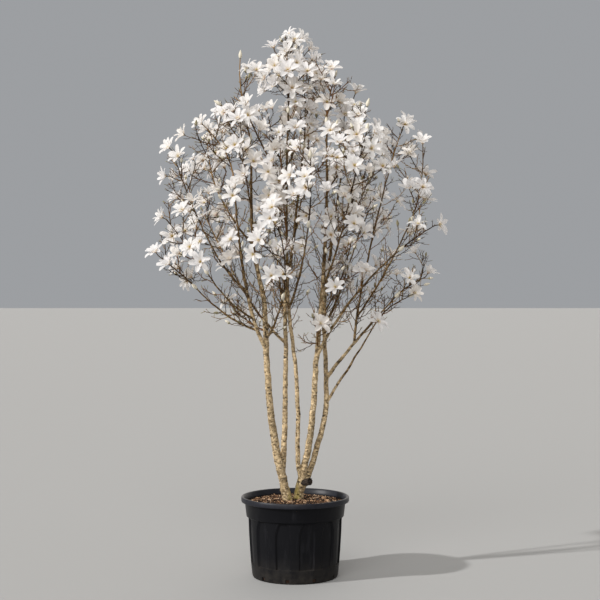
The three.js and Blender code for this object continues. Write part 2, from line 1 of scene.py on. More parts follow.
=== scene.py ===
"""A clump-grown magnolia in a round ribbed nursery pot, bare of leaves and in full white flower.

The solids of the part come in as a fixed frame, and each is replaced by finished pieces in the same place:
the pot, the bark mulch, the bark of every stem and bough, and the crown of twigs, blossom and buds.
"""

import json
import math

import bmesh
import bpy
import numpy as np
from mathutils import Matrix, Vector, noise

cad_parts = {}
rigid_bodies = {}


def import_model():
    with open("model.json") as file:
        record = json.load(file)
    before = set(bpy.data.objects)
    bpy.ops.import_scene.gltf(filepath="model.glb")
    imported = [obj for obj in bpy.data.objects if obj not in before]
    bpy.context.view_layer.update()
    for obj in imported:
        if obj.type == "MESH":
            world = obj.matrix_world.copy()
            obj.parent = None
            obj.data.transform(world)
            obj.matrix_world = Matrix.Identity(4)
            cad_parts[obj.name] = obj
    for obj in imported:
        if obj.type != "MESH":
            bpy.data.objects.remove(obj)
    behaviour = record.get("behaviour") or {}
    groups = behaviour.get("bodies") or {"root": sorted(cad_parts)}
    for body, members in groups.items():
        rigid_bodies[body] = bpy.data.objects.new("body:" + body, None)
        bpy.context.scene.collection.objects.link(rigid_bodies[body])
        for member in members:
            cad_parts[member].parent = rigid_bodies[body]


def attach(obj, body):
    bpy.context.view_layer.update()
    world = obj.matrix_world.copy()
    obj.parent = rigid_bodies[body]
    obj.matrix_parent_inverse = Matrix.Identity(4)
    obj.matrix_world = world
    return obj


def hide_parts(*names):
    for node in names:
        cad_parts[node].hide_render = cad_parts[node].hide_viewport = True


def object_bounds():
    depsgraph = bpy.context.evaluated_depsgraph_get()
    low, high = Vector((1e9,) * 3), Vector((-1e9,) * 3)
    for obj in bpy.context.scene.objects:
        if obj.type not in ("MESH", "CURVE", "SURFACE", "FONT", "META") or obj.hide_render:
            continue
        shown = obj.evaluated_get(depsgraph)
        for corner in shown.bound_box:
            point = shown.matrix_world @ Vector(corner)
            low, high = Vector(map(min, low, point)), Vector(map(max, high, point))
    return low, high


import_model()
cad_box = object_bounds()

# -----------------------------------------------------------------------------------------------------------
# Studio: a wide pale floor under an even, nearly white sky. A crisp sun stands high on the left, a broad soft
# light shines from the front and a weak warm one from behind. The camera is level, 6 m off, at mid-height.
# -----------------------------------------------------------------------------------------------------------
FLOOR_SIZE = 400.0
FLOOR_TONE = (0.34, 0.34, 0.335)
SKY_TONE = (1.0, 0.99, 0.98)
SKY_STRENGTH = 0.40
BACKDROP_TONE = (0.335, 0.345, 0.36)
CAMERA_PLACE = (0.0232, -6.06, 1.329)
FRAME_PIXELS = 600
FOCAL_PIXELS = 1256
SENSOR_WIDTH = 36.0
# name: direction it comes from, strength, how wide it looks in degrees, tint
LAMPS = {
    "key_light": ((-0.80, -0.36, 0.50), 3.15, 2, (1.0, 0.985, 0.97)),
    "soft_light": ((-0.18, -0.84, 0.51), 1.75, 50, (1.0, 0.985, 0.97)),
    "back_light": ((0.15, 0.85, 0.35), 0.90, 80, (1.0, 0.920, 0.84)),
}


class Wire:
    """A socket of a material, as a value: arithmetic on it adds the Math nodes that work it out."""

    def __init__(self, finish, socket):
        self.finish = finish
        self.socket = socket

    def math(self, operation, *values):
        return self.finish.node("ShaderNodeMath", {"operation": operation}, dict(enumerate(values)))

    def __add__(self, other):
        return self.math("ADD", self, other)

    def __sub__(self, other):
        return self.math("SUBTRACT", self, other)

    def __rsub__(self, other):
        return self.math("SUBTRACT", other, self)

    def __mul__(self, other):
        return self.math("MULTIPLY", self, other)

    def __pow__(self, other):
        return self.math("POWER", self, other)

    __radd__ = __add__
    __rmul__ = __mul__

    def between(self, low, high):
        """0 at low and below, 1 at high and above."""
        settings = {"clamp": True}
        sockets = {"Value": self, "From Min": low, "From Max": high, "To Min": 0.0, "To Max": 1.0}
        return self.finish.node("ShaderNodeMapRange", settings, sockets)


class Finish:
    """A material being mixed. Constants go straight on the shader's own sockets."""

    def __init__(self, name, **constants):
        self.material = bpy.data.materials.new(name)
        self.material.use_nodes = True
        self.tree = self.material.node_tree
        self.shader = self.tree.nodes["Principled BSDF"]
        for socket, value in constants.items():
            is_colour = isinstance(value, tuple)
            self.shader.inputs[socket.replace("_", " ")].default_value = (*value, 1) if is_colour else value

    def node(self, kind, settings=None, sockets=None, output=0):
        made = self.tree.nodes.new(kind)
        for key, value in (settings or {}).items():
            setattr(made, key, value)
        for key, value in (sockets or {}).items():
            if isinstance(value, Wire):
                self.tree.links.new(value.socket, made.inputs[key])
            elif isinstance(value, tuple) and made.inputs[key].type == "RGBA":
                made.inputs[key].default_value = (*value, 1)
            else:
                made.inputs[key].default_value = value
        return Wire(self, made.outputs[output])

    def place(self, stretch=(1, 1, 1)):
        """The object's own coordinates in metres, stretched."""
        coordinates = self.node("ShaderNodeTexCoord", output=3)
        return self.node("ShaderNodeMapping", {}, {"Vector": coordinates, "Scale": stretch})

    def axis(self, number):
        """How far along X, Y or Z it is in metres, for 0, 1 or 2."""
        return self.node("ShaderNodeSeparateXYZ", {}, {"Vector": self.place()}, output=number)

    def noise(self, scale, stretch=(1, 1, 1), detail=3.0, roughness=0.55):
        """Cloudy noise that is finer for a greater scale."""
        sockets = {"Vector": self.place(stretch), "Scale": scale, "Detail": detail, "Roughness": roughness}
        return self.node("ShaderNodeTexNoise", {}, sockets)

    def blend(self, share, first, second):
        """The first colour where share is 0 and the second where it is 1."""
        return self.node("ShaderNodeMix", {"data_type": "RGBA"}, {0: share, 6: first, 7: second}, output=2)

    def relief(self, height, distance, strength=1.0):
        """A bump of a distance in metres where height goes from 0 to 1."""
        sockets = {"Height": height, "Distance": distance, "Strength": strength}
        return self.node("ShaderNodeBump", {}, sockets)

    def feed(self, **wires):
        """Plugs values into the shader, and gives the finished material."""
        for socket, wire in wires.items():
            self.tree.links.new(wire.socket, self.shader.inputs[socket.replace("_", " ")])
        return self.material

    def grained(self, grain, edges, low, high, distance, strength=1.0):
        """The finished material of a raised grain that goes from one colour to another over some edges."""
        return self.feed(
            Base_Color=self.blend(grain.between(*edges), low, high),
            Normal=self.relief(grain, distance, strength),
        )


bpy.ops.object.select_all(action="DESELECT")
bpy.ops.mesh.primitive_plane_add(size=FLOOR_SIZE)
floor = bpy.context.object
floor.name = "studio_floor"
floor.data.materials.append(Finish("pale_floor", Base_Color=FLOOR_TONE, Roughness=0.9).material)

sky = bpy.data.worlds.new("studio_sky")
sky.use_nodes = True
bpy.context.scene.world = sky
bpy.context.scene.view_settings.view_transform = "Standard"
background = sky.node_tree.nodes["Background"]
seen_straight = sky.node_tree.nodes.new("ShaderNodeLightPath").outputs["Is Camera Ray"]
# setting: kind of Mix node, its sockets for both values and the result, value as a light, value as a backdrop
sky_settings = {
    "Color": ("RGBA", (6, 7, 2), (*SKY_TONE, 1), (*BACKDROP_TONE, 1)),
    "Strength": ("FLOAT", (2, 3, 0), SKY_STRENGTH, 1.0),
}
for setting, (kind, (first, second, result), as_light, as_backdrop) in sky_settings.items():
    choice = sky.node_tree.nodes.new("ShaderNodeMix")
    choice.data_type = kind
    sky.node_tree.links.new(seen_straight, choice.inputs[0])
    choice.inputs[first].default_value = as_light
    choice.inputs[second].default_value = as_backdrop
    sky.node_tree.links.new(choice.outputs[result], background.inputs[setting])

for name, (origin, strength, spread, tint) in LAMPS.items():
    bpy.ops.object.light_add(type="SUN")
    lamp = bpy.context.object
    lamp.name = name
    lamp.data.energy = strength
    lamp.data.angle = math.radians(spread)
    lamp.data.color = tint
    lamp.rotation_euler = (-Vector(origin)).to_track_quat("-Z", "Y").to_euler()

bpy.ops.object.camera_add(location=CAMERA_PLACE, rotation=(math.pi / 2, 0, 0))
camera = bpy.context.object
camera.name = "camera"
camera.data.sensor_width = SENSOR_WIDTH
camera.data.lens = SENSOR_WIDTH * FOCAL_PIXELS / FRAME_PIXELS
bpy.context.scene.camera = camera

# -----------------------------------------------------------------------------------------------------------
# Pot: blow-moulded black plastic. A tapering wall with upright ribs between sunk panels, a collar, a rolled
# rim and drain slots round the foot. It is drawn up ring by ring from the foot and down again on the inside.
# -----------------------------------------------------------------------------------------------------------
POT_SEGMENTS = 288
POT_HEIGHT = 0.385
RIM_RADIUS = 0.260
RIM_FOOT = 0.360
COLLAR_RADIUS = 0.243
COLLAR_FOOT_RADIUS = 0.235
COLLAR_FOOT = 0.290
BODY_RADIUS = 0.226
BAND_RADIUS = 0.2125
BAND_HEIGHT = 0.065
FOOT_RADIUS = 0.199
WALL = 0.0035
PANEL_DEPTH = 0.0085
PANEL_FOOT = BAND_HEIGHT + 0.002
PANEL_TOP = 0.285
RIBS = 12
RIB_TURNS = [2 * math.pi * k / RIBS for k in range(RIBS)]
SLOTS = 10
FIRST_SLOT = 8
SLOT_TURNS = [math.radians(360 / SLOTS * k + FIRST_SLOT) for k in range(SLOTS)]
SLOT_HALF_WIDTH = 0.0075
SLOT_DEPTH = 0.009
SLOT_FOOT = 0.0045
SLOT_TOP = 0.022
SAME_HEIGHT = 1e-4
SAME_WALL = 0.001
EDGE_BEVEL = 0.0011
BEVELLED_ANGLE = 28
SMOOTH_ANGLE = 40
# [radius, height] up the outside of the foot
FOOT_PROFILE = [
    (FOOT_RADIUS + 0.0028, 0.0010), (FOOT_RADIUS + 0.0055, SLOT_FOOT), (FOOT_RADIUS + 0.007, 0.009),
    (FOOT_RADIUS + 0.0082, 0.016), (FOOT_RADIUS + 0.009, SLOT_TOP), (FOOT_RADIUS + 0.0112, 0.045),
    (BAND_RADIUS, BAND_HEIGHT),
]
# [radius, height, half a rib's width in degrees] up the panels; the ribs flare out at the top
PANEL_PROFILE = [
    (BAND_RADIUS + 0.0002, PANEL_FOOT, 5.4), (0.2176, 0.13, 5.4), (0.2224, 0.21, 5.9), (0.2238, 0.248, 6.6),
    (0.2245, 0.264, 7.9), (0.2250, 0.276, 9.1), (BODY_RADIUS - 0.0004, PANEL_TOP, 10.4),
]
# [radius, height] up the collar, over the rim and down the inside
RIM_PROFILE = [
    (BODY_RADIUS, PANEL_TOP + 0.002), (COLLAR_FOOT_RADIUS - 0.0015, COLLAR_FOOT),
    (COLLAR_FOOT_RADIUS, COLLAR_FOOT + 0.002), (COLLAR_RADIUS, RIM_FOOT),
    (RIM_RADIUS - 0.002, RIM_FOOT + 0.0003), (RIM_RADIUS, RIM_FOOT + 0.003),
    (RIM_RADIUS, POT_HEIGHT - 0.005), (RIM_RADIUS - 0.0015, POT_HEIGHT - 0.0014),
    (RIM_RADIUS - 0.005, POT_HEIGHT), (RIM_RADIUS - 0.010, POT_HEIGHT - 0.0008),
    (RIM_RADIUS - 0.0135, POT_HEIGHT - 0.005), (COLLAR_RADIUS - WALL, RIM_FOOT),
    (COLLAR_FOOT_RADIUS - WALL, COLLAR_FOOT + 0.003), (BODY_RADIUS - PANEL_DEPTH - WALL, PANEL_TOP),
    (BAND_RADIUS - PANEL_DEPTH - WALL, BAND_HEIGHT), (FOOT_RADIUS - WALL, WALL),
]
DUST = (0.095, 0.082, 0.066)
DUST_TOP = 0.15


def select_where(test, kind="VERT"):
    """In edit mode, selects just the corners or faces that pass a test."""
    bpy.ops.mesh.select_mode(type=kind)
    bpy.ops.mesh.select_all(action="DESELECT")
    mesh = bmesh.from_edit_mesh(bpy.context.object.data)
    for part in (mesh.verts if kind == "VERT" else mesh.faces):
        if test(part):
            part.select_set(True)
    mesh.select_flush_mode()
    bmesh.update_edit_mesh(bpy.context.object.data)


def off_nearest(spot, turns):
    """How far round the pot a spot is from the nearest of some turns."""
    turn = math.atan2(spot.y, spot.x)
    return min(abs((turn - t + math.pi) % (2 * math.pi) - math.pi) for t in turns)


def sink_panels(ring_radius, ring_height, rib_half_width):
    """Draws one ring of the wall in between the ribs."""
    def in_panel(corner):
        on_ring = abs(corner.co.z - ring_height) < SAME_HEIGHT
        outside = corner.co.xy.length > ring_radius - SAME_WALL
        return on_ring and outside and off_nearest(corner.co, RIB_TURNS) > rib_half_width

    select_where(in_panel)
    shrink = 1 - PANEL_DEPTH / ring_radius
    bpy.ops.transform.resize(value=(shrink, shrink, 1))


def in_slot(face):
    middle = face.calc_center_median()
    if not SLOT_FOOT < middle.z < SLOT_TOP or middle.xy.length < FOOT_RADIUS:
        return False
    return off_nearest(middle, SLOT_TURNS) * FOOT_RADIUS < SLOT_HALF_WIDTH


def black_plastic():
    """Satin black, scuffed up its length, with soil dust low down and on the ledge, and a lighter bluish rim
    that is partly a dusty bloom and partly a painted sky reflection.
    """
    plastic = Finish("black_plastic", Specular_IOR_Level=0.10, Coat_Roughness=0.42)
    level = plastic.axis(2)
    scuffs = plastic.noise(9, (3, 3, 0.5), 6, 0.7).between(0.56, 0.82)
    grime = plastic.noise(26, detail=5, roughness=0.65).between(0.35, 0.75)
    low_dust = (1 - level.between(0.0, DUST_TOP)) ** 1.8 * (0.2 + grime * 0.8)
    # The rim band: a dusty bloom, plus a painted sky reflection that makes it lighter and bluer than the wall
    rim_bloom_and_sky_reflection = level.between(RIM_FOOT - 0.001, RIM_FOOT + 0.002) * (0.55 + grime * 0.45)
    on_ledge = level.between(BAND_HEIGHT - 0.0015, BAND_HEIGHT + 0.0005)
    under_ledge = 1 - level.between(PANEL_FOOT + 0.0005, PANEL_FOOT + 0.0030)
    ledge_dust = on_ledge * under_ledge * (0.4 + grime * 0.6)
    worn = plastic.blend(scuffs * 0.6, (0.0045, 0.0046, 0.0058), (0.026, 0.026, 0.030))
    # Painted sky reflection with dusty bloom: the rim's colour is lighter and bluish
    worn = plastic.blend(rim_bloom_and_sky_reflection, worn, (0.013, 0.014, 0.020))
    grain = plastic.noise(420, detail=2)
    ripple = plastic.noise(7, (1, 1, 0.35), 2)
    return plastic.feed(
        Base_Color=plastic.blend(low_dust * 0.36 + ledge_dust * 0.10, worn, DUST),
        Roughness=0.40 + scuffs * 0.14 + low_dust * 0.35 + ledge_dust * 0.4,
        Coat_Weight=rim_bloom_and_sky_reflection * 0.35,
        Normal=plastic.relief(grain * 0.12 + ripple, 0.0022, 0.5),
    )


def dark_compost():
    """Crumbly dark compost with paler bits in it."""
    compost = Finish("dark_compost", Roughness=0.95, Specular_IOR_Level=0.2)
    crumbs = compost.noise(300, detail=6, roughness=0.7)
    return compost.grained(crumbs, (0.35, 0.7), (0.014, 0.008, 0.006), (0.100, 0.058, 0.038), 0.004)


bpy.ops.object.select_all(action="DESELECT")
bpy.ops.mesh.primitive_circle_add(vertices=POT_SEGMENTS, radius=FOOT_RADIUS, fill_type="NGON")
pot = bpy.context.object
pot.name = "nursery_pot"
bpy.ops.object.mode_set(mode="EDIT")
bpy.ops.mesh.select_all(action="SELECT")
radius, height = FOOT_RADIUS, 0.0
for next_radius, next_height, *_ in [*FOOT_PROFILE, *PANEL_PROFILE, *RIM_PROFILE]:
    bpy.ops.mesh.extrude_region_move(TRANSFORM_OT_translate={"value": (0, 0, next_height - height)})
    bpy.ops.transform.resize(value=(next_radius / radius, next_radius / radius, 1))
    radius, height = next_radius, next_height
for ring_radius, ring_height, rib_half_width in PANEL_PROFILE:
    sink_panels(ring_radius, ring_height, math.radians(rib_half_width))
select_where(in_slot, "FACE")
bpy.ops.mesh.extrude_region_shrink_fatten(TRANSFORM_OT_shrink_fatten={"value": -SLOT_DEPTH})

# The drain slots open on the dark compost inside
pot.data.materials.append(black_plastic())
compost = dark_compost()
pot.data.materials.append(compost)
pot.active_material_index = 1
bpy.ops.object.material_slot_assign()
bpy.ops.object.mode_set(mode="OBJECT")
edges = pot.modifiers.new("soft_edges", "BEVEL")
edges.width = EDGE_BEVEL
edges.segments = 2
edges.limit_method = "ANGLE"
edges.angle_limit = math.radians(BEVELLED_ANGLE)
bpy.ops.object.modifier_apply(modifier=edges.name)
bpy.ops.object.shade_smooth_by_angle(angle=math.radians(SMOOTH_ANGLE))
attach(pot, "root")
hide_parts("pot")

# -----------------------------------------------------------------------------------------------------------
# Mulch: a low mound of potting compost under coarse bark chips, raked level just above the rim's foot. The
# chips are flat split flakes in five browns that lie tilted as they fell.
# -----------------------------------------------------------------------------------------------------------
MULCH_EDGE = 0.350
MULCH_TOP = 0.366
MULCH_PLATEAU = 0.075
MULCH_RADIUS = 0.2372
MOUND_SIDES = 96
MOUND_RINGS = 40
LUMP_HEIGHT = 0.004
LUMPS_IN_A_METRE = 38
LUMP_FREE_EDGE = 0.02
CHIPS = 2600
CHIP_SEED = 11
CHIP_LENGTHS = (0.007, 0.027)
CHIP_WIDTH_SHARES = (0.28, 0.62)
CHIP_THICKNESSES = (0.0012, 0.0034)
CHIP_OUTLINE = [(-1, -0.6), (0.2, -1), (1, 0.5), (-0.5, 1)]
CHIP_RAGGEDNESS = 0.25
CHIP_BOWS = (-0.6, 0.9)
CHIP_TOP_SHARE = 0.86
CHIP_TILT = 0.42
CHIP_FREE_EDGE = 0.006
CHIP_LIFTS = (-0.003, 0.0045)
CHIP_TONES = {
    "chip_dark": (0.018, 0.009, 0.005), "chip_brown": (0.080, 0.040, 0.019),
    "chip_red": (0.185, 0.093, 0.047), "chip_tan": (0.480, 0.295, 0.165), "chip_pale": (0.580, 0.405, 0.265),
}
CHIP_SHARES = [0.30, 0.26, 0.18, 0.17, 0.09]


def mound_height(out):
    """The mulch's level at a distance from its middle."""
    share = np.clip((MULCH_RADIUS - out) / (MULCH_RADIUS - MULCH_PLATEAU), 0, 1)
    return MULCH_EDGE + (MULCH_TOP - MULCH_EDGE) * np.sin(share * math.pi / 2)


bpy.ops.object.select_all(action="DESELECT")
bpy.ops.mesh.primitive_circle_add(
    vertices=MOUND_SIDES, radius=MULCH_RADIUS, fill_type="NGON", location=(0, 0, MULCH_EDGE))
mound = bpy.context.object
mound.name = "compost_mound"
bpy.ops.object.transform_apply(location=True)
bpy.ops.object.mode_set(mode="EDIT")
bpy.ops.mesh.select_all(action="SELECT")
for ring in range(MOUND_RINGS):
    bpy.ops.mesh.inset(thickness=MULCH_RADIUS / (MOUND_RINGS + 2))
bpy.ops.object.mode_set(mode="OBJECT")
for vertex in mound.data.vertices:
    lump = noise.fractal(vertex.co * LUMPS_IN_A_METRE, 0.7, 2.1, 4)
    lump_share = min(1.0, (MULCH_RADIUS - vertex.co.xy.length) / LUMP_FREE_EDGE)
    vertex.co.z = mound_height(vertex.co.xy.length) - LUMP_HEIGHT + LUMP_HEIGHT * lump * lump_share
mound.data.materials.append(compost)
bpy.ops.object.shade_smooth()
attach(mound, "root")
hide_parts("mulch")


class Heap:
    """Many small shapes gathered into joined meshes, each face with the number of its tint."""

    MOST_TRIANGLES = 180000

    def __init__(self):
        self.corners, self.quads, self.triangles = [], [], []
        self.quad_tints, self.triangle_tints = [], []
        self.count = 0
        self.parts = []
        self.weight = 0

    def add(self, corners, quads=(), triangles=(), tint=0):
        """tint is one number, or a pair of lists with one for each quad and each triangle."""
        quads = np.asarray(quads, int).reshape(-1, 4)
        triangles = np.asarray(triangles, int).reshape(-1, 3)
        quad_tint, triangle_tint = tint if isinstance(tint, tuple) else (tint, tint)
        self.corners.append(corners)
        self.quads.append(quads + self.count)
        self.triangles.append(triangles + self.count)
        self.quad_tints.append(np.broadcast_to(quad_tint, len(quads)))
        self.triangle_tints.append(np.broadcast_to(triangle_tint, len(triangles)))
        self.count += len(corners)
        self.weight += 2 * len(quads) + len(triangles)
        if self.weight > self.MOST_TRIANGLES:
            self.close()

    def close(self):
        if self.count:
            self.parts.append([np.concatenate(rows) for rows in (
                self.corners, self.quads, self.triangles, self.quad_tints, self.triangle_tints)])
        self.corners, self.quads, self.triangles = [], [], []
        self.quad_tints, self.triangle_tints = [], []
        self.count = self.weight = 0

    def pieces(self, name, materials, smooth=True):
        """The joined meshes as objects."""
        self.close()
        made = []
        for number, (corners, quads, triangles, quad_tints, triangle_tints) in enumerate(self.parts, 1):
            mesh = bpy.data.meshes.new(name)
            mesh.vertices.add(len(corners))
            mesh.vertices.foreach_set("co", corners.astype(np.float32).ravel())
            loops = np.concatenate([quads.ravel(), triangles.ravel()])
            mesh.loops.add(len(loops))
            mesh.loops.foreach_set("vertex_index", loops.astype(np.int32))
            mesh.polygons.add(len(quads) + len(triangles))
            starts = [np.arange(len(quads)) * 4, len(quads) * 4 + np.arange(len(triangles)) * 3]
            mesh.polygons.foreach_set("loop_start", np.concatenate(starts).astype(np.int32))
            mesh.polygons.foreach_set(
                "material_index", np.concatenate([quad_tints, triangle_tints]).astype(np.int32))
            mesh.polygons.foreach_set("use_smooth", np.full(len(quads) + len(triangles), smooth))
            for material in materials:
                mesh.materials.append(material)
            mesh.update(calc_edges=True)
            mesh.validate()
            piece = bpy.data.objects.new(f"{name}_{number}", mesh)
            bpy.context.scene.collection.objects.link(piece)
            made.append(piece)
        return made


def shade(tone, share):
    return tuple(share * c for c in tone)


FLAKE_QUADS = [(0, 3, 2, 1), (4, 5, 6, 7), (0, 1, 5, 4), (1, 2, 6, 5), (2, 3, 7, 6), (3, 0, 4, 7)]
shuffle = np.random.default_rng(CHIP_SEED)
chips = Heap()
for _ in range(CHIPS):
    out = (MULCH_RADIUS - CHIP_FREE_EDGE) * math.sqrt(shuffle.random())
    turn = shuffle.random() * 2 * math.pi
    length = CHIP_LENGTHS[0] + (CHIP_LENGTHS[1] - CHIP_LENGTHS[0]) * shuffle.random() ** 1.8
    width = length * shuffle.uniform(*CHIP_WIDTH_SHARES)
    thick = shuffle.uniform(*CHIP_THICKNESSES)
    outline = np.array(CHIP_OUTLINE) + shuffle.uniform(-CHIP_RAGGEDNESS, CHIP_RAGGEDNESS, (4, 2))
    flat = outline * (length / 2, width / 2)
    bow = thick * shuffle.uniform(*CHIP_BOWS)
    lower = np.column_stack([flat, [bow, -bow, bow, -bow] - np.full(4, thick / 2)])
    upper = np.column_stack([flat * CHIP_TOP_SHARE, [bow, -bow, bow, -bow] + np.full(4, thick / 2)])
    lean = Vector((shuffle.normal(0, CHIP_TILT), shuffle.normal(0, CHIP_TILT), 1)).normalized()
    tilt = np.array(lean.to_track_quat("Z", "Y").to_matrix())
    swing = shuffle.random() * 2 * math.pi
    spin = np.array([
        [math.cos(swing), -math.sin(swing), 0],
        [math.sin(swing), math.cos(swing), 0],
        [0, 0, 1],
    ])
    level = mound_height(out) + shuffle.uniform(*CHIP_LIFTS)
    middle = np.array([out * math.cos(turn), out * math.sin(turn), level])
    corners = np.vstack([lower, upper]) @ spin.T @ tilt.T + middle
    chips.add(corners, quads=FLAKE_QUADS, tint=shuffle.choice(len(CHIP_SHARES), p=CHIP_SHARES))

chip_materials = []
for name, tone in CHIP_TONES.items():
    chip = Finish(name, Roughness=0.85, Specular_IOR_Level=0.25)
    fibres = chip.noise(500, detail=4, roughness=0.7)
    chip_materials.append(chip.grained(fibres, (0.3, 0.7), shade(tone, 0.45), tone, 0.001))
for piece in chips.pieces("bark_chips", chip_materials, smooth=False):
    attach(piece, "root")
    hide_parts("mulch")

# -----------------------------------------------------------------------------------------------------------
# Stems and boughs: five stems from one root and the boughs they carry, in smooth thin bark that is pale and
# spotted where it is thick and dark brown where it is young. Their lines are the solids' own, in millimetres.
# -----------------------------------------------------------------------------------------------------------
MM = 0.001
SOIL_LINE = 366.3
FLARE_REACH = 55
SUNK_FOOT = 14
# name, radius at foot and tip, flare, stem it forks from, height of the fork, the points it leans through
STEMS = [
    ("stem_left", (20.5, 4), 4, None, None, [
        (-36, -18, SOIL_LINE), (-62, -22, 480), (-92, -32, 610), (-116, -46, 795),
        (-135, -63, 1040), (-150, -75, 1330), (-200, -72, 1600), (-213, -58, 2085)]),
    ("stem_right_inner", (17.5, 4), 9, None, None, [
        (15, 14, SOIL_LINE), (30, 10, 470), (60, -5, 600), (86, -28, 800),
        (105, -50, 1090), (135, -65, 1445), (150, -74, 1800), (150, -75, 2165)]),
    ("stem_left_inner", (14.5, 4), 0, "stem_left", 500, [
        (-54, 12, 605), (-50, 48, 780), (-46, 86, 1080),
        (-48, 106, 1340), (-15, 122, 1580), (40, 132, 2070)]),
    ("stem_middle", (11.5, 4), 0, "stem_right_inner", 465, [
        (12, -10, 560), (14, -18, 775), (2, -26, 1000), (-32, -18, 1300),
        (-40, 0, 1560), (-40, 14, 1950), (-34, 13, 2230)]),
    ("stem_right", (15, 4), 0, "stem_right_inner", 400, [
        (72, 26, 505), (140, 38, 750), (151, 46, 940),
        (140, 84, 1240), (162, 122, 1480), (230, 165, 1975)]),
]
# name, limb that carries it, height where it leaves, point it bends towards, tip, radius at foot and tip
BOUGHS = [
    ("bough_left", "stem_left", 1095, (-245, -170, 1260), (-290, -125, 1900), (9.5, 3.5)),
    ("bough_left_low", "bough_left", 1185, (-330, -112, 1235), (-465, -92, 1380), (5.5, 3)),
    ("bough_left_front", "bough_left", 1240, (-290, -205, 1280), (-400, -240, 1445), (5, 3)),
    ("bough_left_mid", "bough_left", 1370, (-340, -130, 1450), (-450, -75, 1690), (5.5, 3)),
    ("bough_front_left", "stem_left", 1145, (-95, -150, 1190), (-60, -235, 1330), (7, 3)),
    ("bough_back_left", "stem_left", 1585, (-285, 20, 1680), (-360, 90, 1820), (5.5, 3)),
    ("bough_back_left_low", "stem_left_inner", 1120, (-200, 230, 1240), (-330, 300, 1500), (7, 3)),
    ("bough_back", "stem_left_inner", 1250, (-80, 280, 1370), (-100, 400, 1620), (7, 3)),
    ("bough_back_high", "stem_left_inner", 1620, (15, 270, 1730), (40, 340, 1930), (5.5, 3)),
    ("bough_front", "stem_middle", 1290, (30, -170, 1420), (60, -300, 1660), (6.5, 3)),
    ("bough_top_left", "stem_middle", 1885, (-150, -35, 2030), (-230, -60, 2230), (5, 3)),
    ("bough_right_front", "stem_right_inner", 1060, (240, -180, 1350), (480, -220, 1555), (8, 3)),
    ("bough_front_right", "stem_right_inner", 1390, (200, -220, 1540), (245, -330, 1770), (6, 3)),
    ("bough_right", "stem_right", 950, (320, 10, 1170), (480, 0, 1340), (9, 3)),
    ("bough_right_high", "bough_right", 1120, (300, 120, 1350), (460, 112, 1960), (6, 3)),
    ("bough_right_mid", "bough_right_high", 1250, (420, -80, 1420), (540, -130, 1690), (5, 3)),
    ("bough_right_low", "stem_right", 830, (290, 90, 1040), (400, 130, 1220), (7, 3)),
    ("bough_back_right", "stem_right", 1190, (220, 230, 1340), (300, 370, 1590), (7, 3)),
]
STUB = {"limb": "stem_right_inner", "height": 450, "reach": (45, -36, 12), "radius": (13, 17)}
# Old pruning wounds and bud scars: limb, height, turn round it in degrees from the right, size
SCARS = [
    ("stem_left", 951, -70, 6.5), ("stem_left", 660, -100, 7), ("stem_left", 626, -80, 6),
    ("stem_left", 520, -60, 5), ("stem_left_inner", 1010, -110, 6), ("stem_left_inner", 740, -60, 4.5),
    ("stem_right_inner", 730, -95, 5), ("stem_right_inner", 905, -60, 5), ("stem_middle", 860, -80, 3.5),
    ("stem_right", 700, -110, 4.5), ("stem_right", 1010, -60, 4), ("stem_middle", 1120, -120, 3.5),
    ("stem_left", 1180, 60, 5), ("stem_left", 820, 120, 6), ("stem_right_inner", 640, 90, 6),
    ("stem_right_inner", 1010, 140, 5), ("stem_left_inner", 890, 80, 5), ("stem_right", 870, 60, 5),
]
STEM_SIDES = 20
BOUGH_SIDES = 14
STEM_STEPS = 2
BOUGH_STEPS = 5
STEM_FINENESS = 9
BOUGH_FINENESS = 12
LIMB_SEED = 5
RING_SPACING = 4.8
# A limb swells where it leaves its parent, over a few of its own radii
COLLAR_SWELL = 0.42
COLLAR_REACH = 2.6
SUNK_SWELL = 1.06
# Old nodes up a limb
NODES = 80
NODE_SPACINGS = (26, 62)
NODE_SWELLS = (0.03, 0.12)
NODE_WIDTH = 5.0
# It wanders off its line between its ends
WANDER = 3.2
WANDER_LENGTH = 52
WANDER_FREE_END = 40
# share of the radius, size
LUMPS = [(0.05, 34), (0.05, 13), (0.045, 6)]
# A scar's raised lip and the hollow in it, over its size
SCAR_LIP = 0.42
SCAR_HOLLOW = 0.50
SCAR_HOLLOW_WIDTH = 0.45
SCAR_TILT = 0.15
SCAB_SIZE = 0.27


def vec(*numbers):
    return np.array(numbers, float)


def unit(v):
    return v / math.sqrt(v @ v)


def spline(through, steps):
    """Even steps of a smooth curve through some points."""
    points = [2 * through[0] - through[1], *through, 2 * through[-1] - through[-2]]
    spans = len(through) - 1
    made = []
    for k in range(steps + 1):
        i = min(int(spans * k / steps), spans - 1)
        t = spans * k / steps - i
        a, b, c, d = points[i:i + 4]
        slope_in, slope_out = (c - a) / 2, (d - b) / 2
        made.append(b + t * slope_in + t * t * (3 * (c - b) - 2 * slope_in - slope_out)
                    + t ** 3 * (2 * (b - c) + slope_in + slope_out))
    return np.array(made)


def bend(foot, via, tip, steps):
    """Even steps of a curve that sets out towards one point and ends at another."""
    t = np.linspace(0, 1, steps + 1)[:, None]
    return (1 - t) ** 2 * foot + 2 * t * (1 - t) * via + t * t * tip


def at_height(points, height):
    """Where a line that climbs reaches a height."""
    i = next(k for k in range(1, len(points)) if points[k][2] >= height)
    low, high = points[i - 1], points[i]
    return low + (high - low) * (height - low[2]) / (high[2] - low[2])


def lengths_along(points):
    return np.concatenate([[0], np.cumsum(np.linalg.norm(np.diff(points, axis=0), axis=1))])


def taper(points, ends, flare):
    run = lengths_along(points)
    return ends[0] + (ends[1] - ends[0]) * run / run[-1] + flare * np.exp(-run / FLARE_REACH)


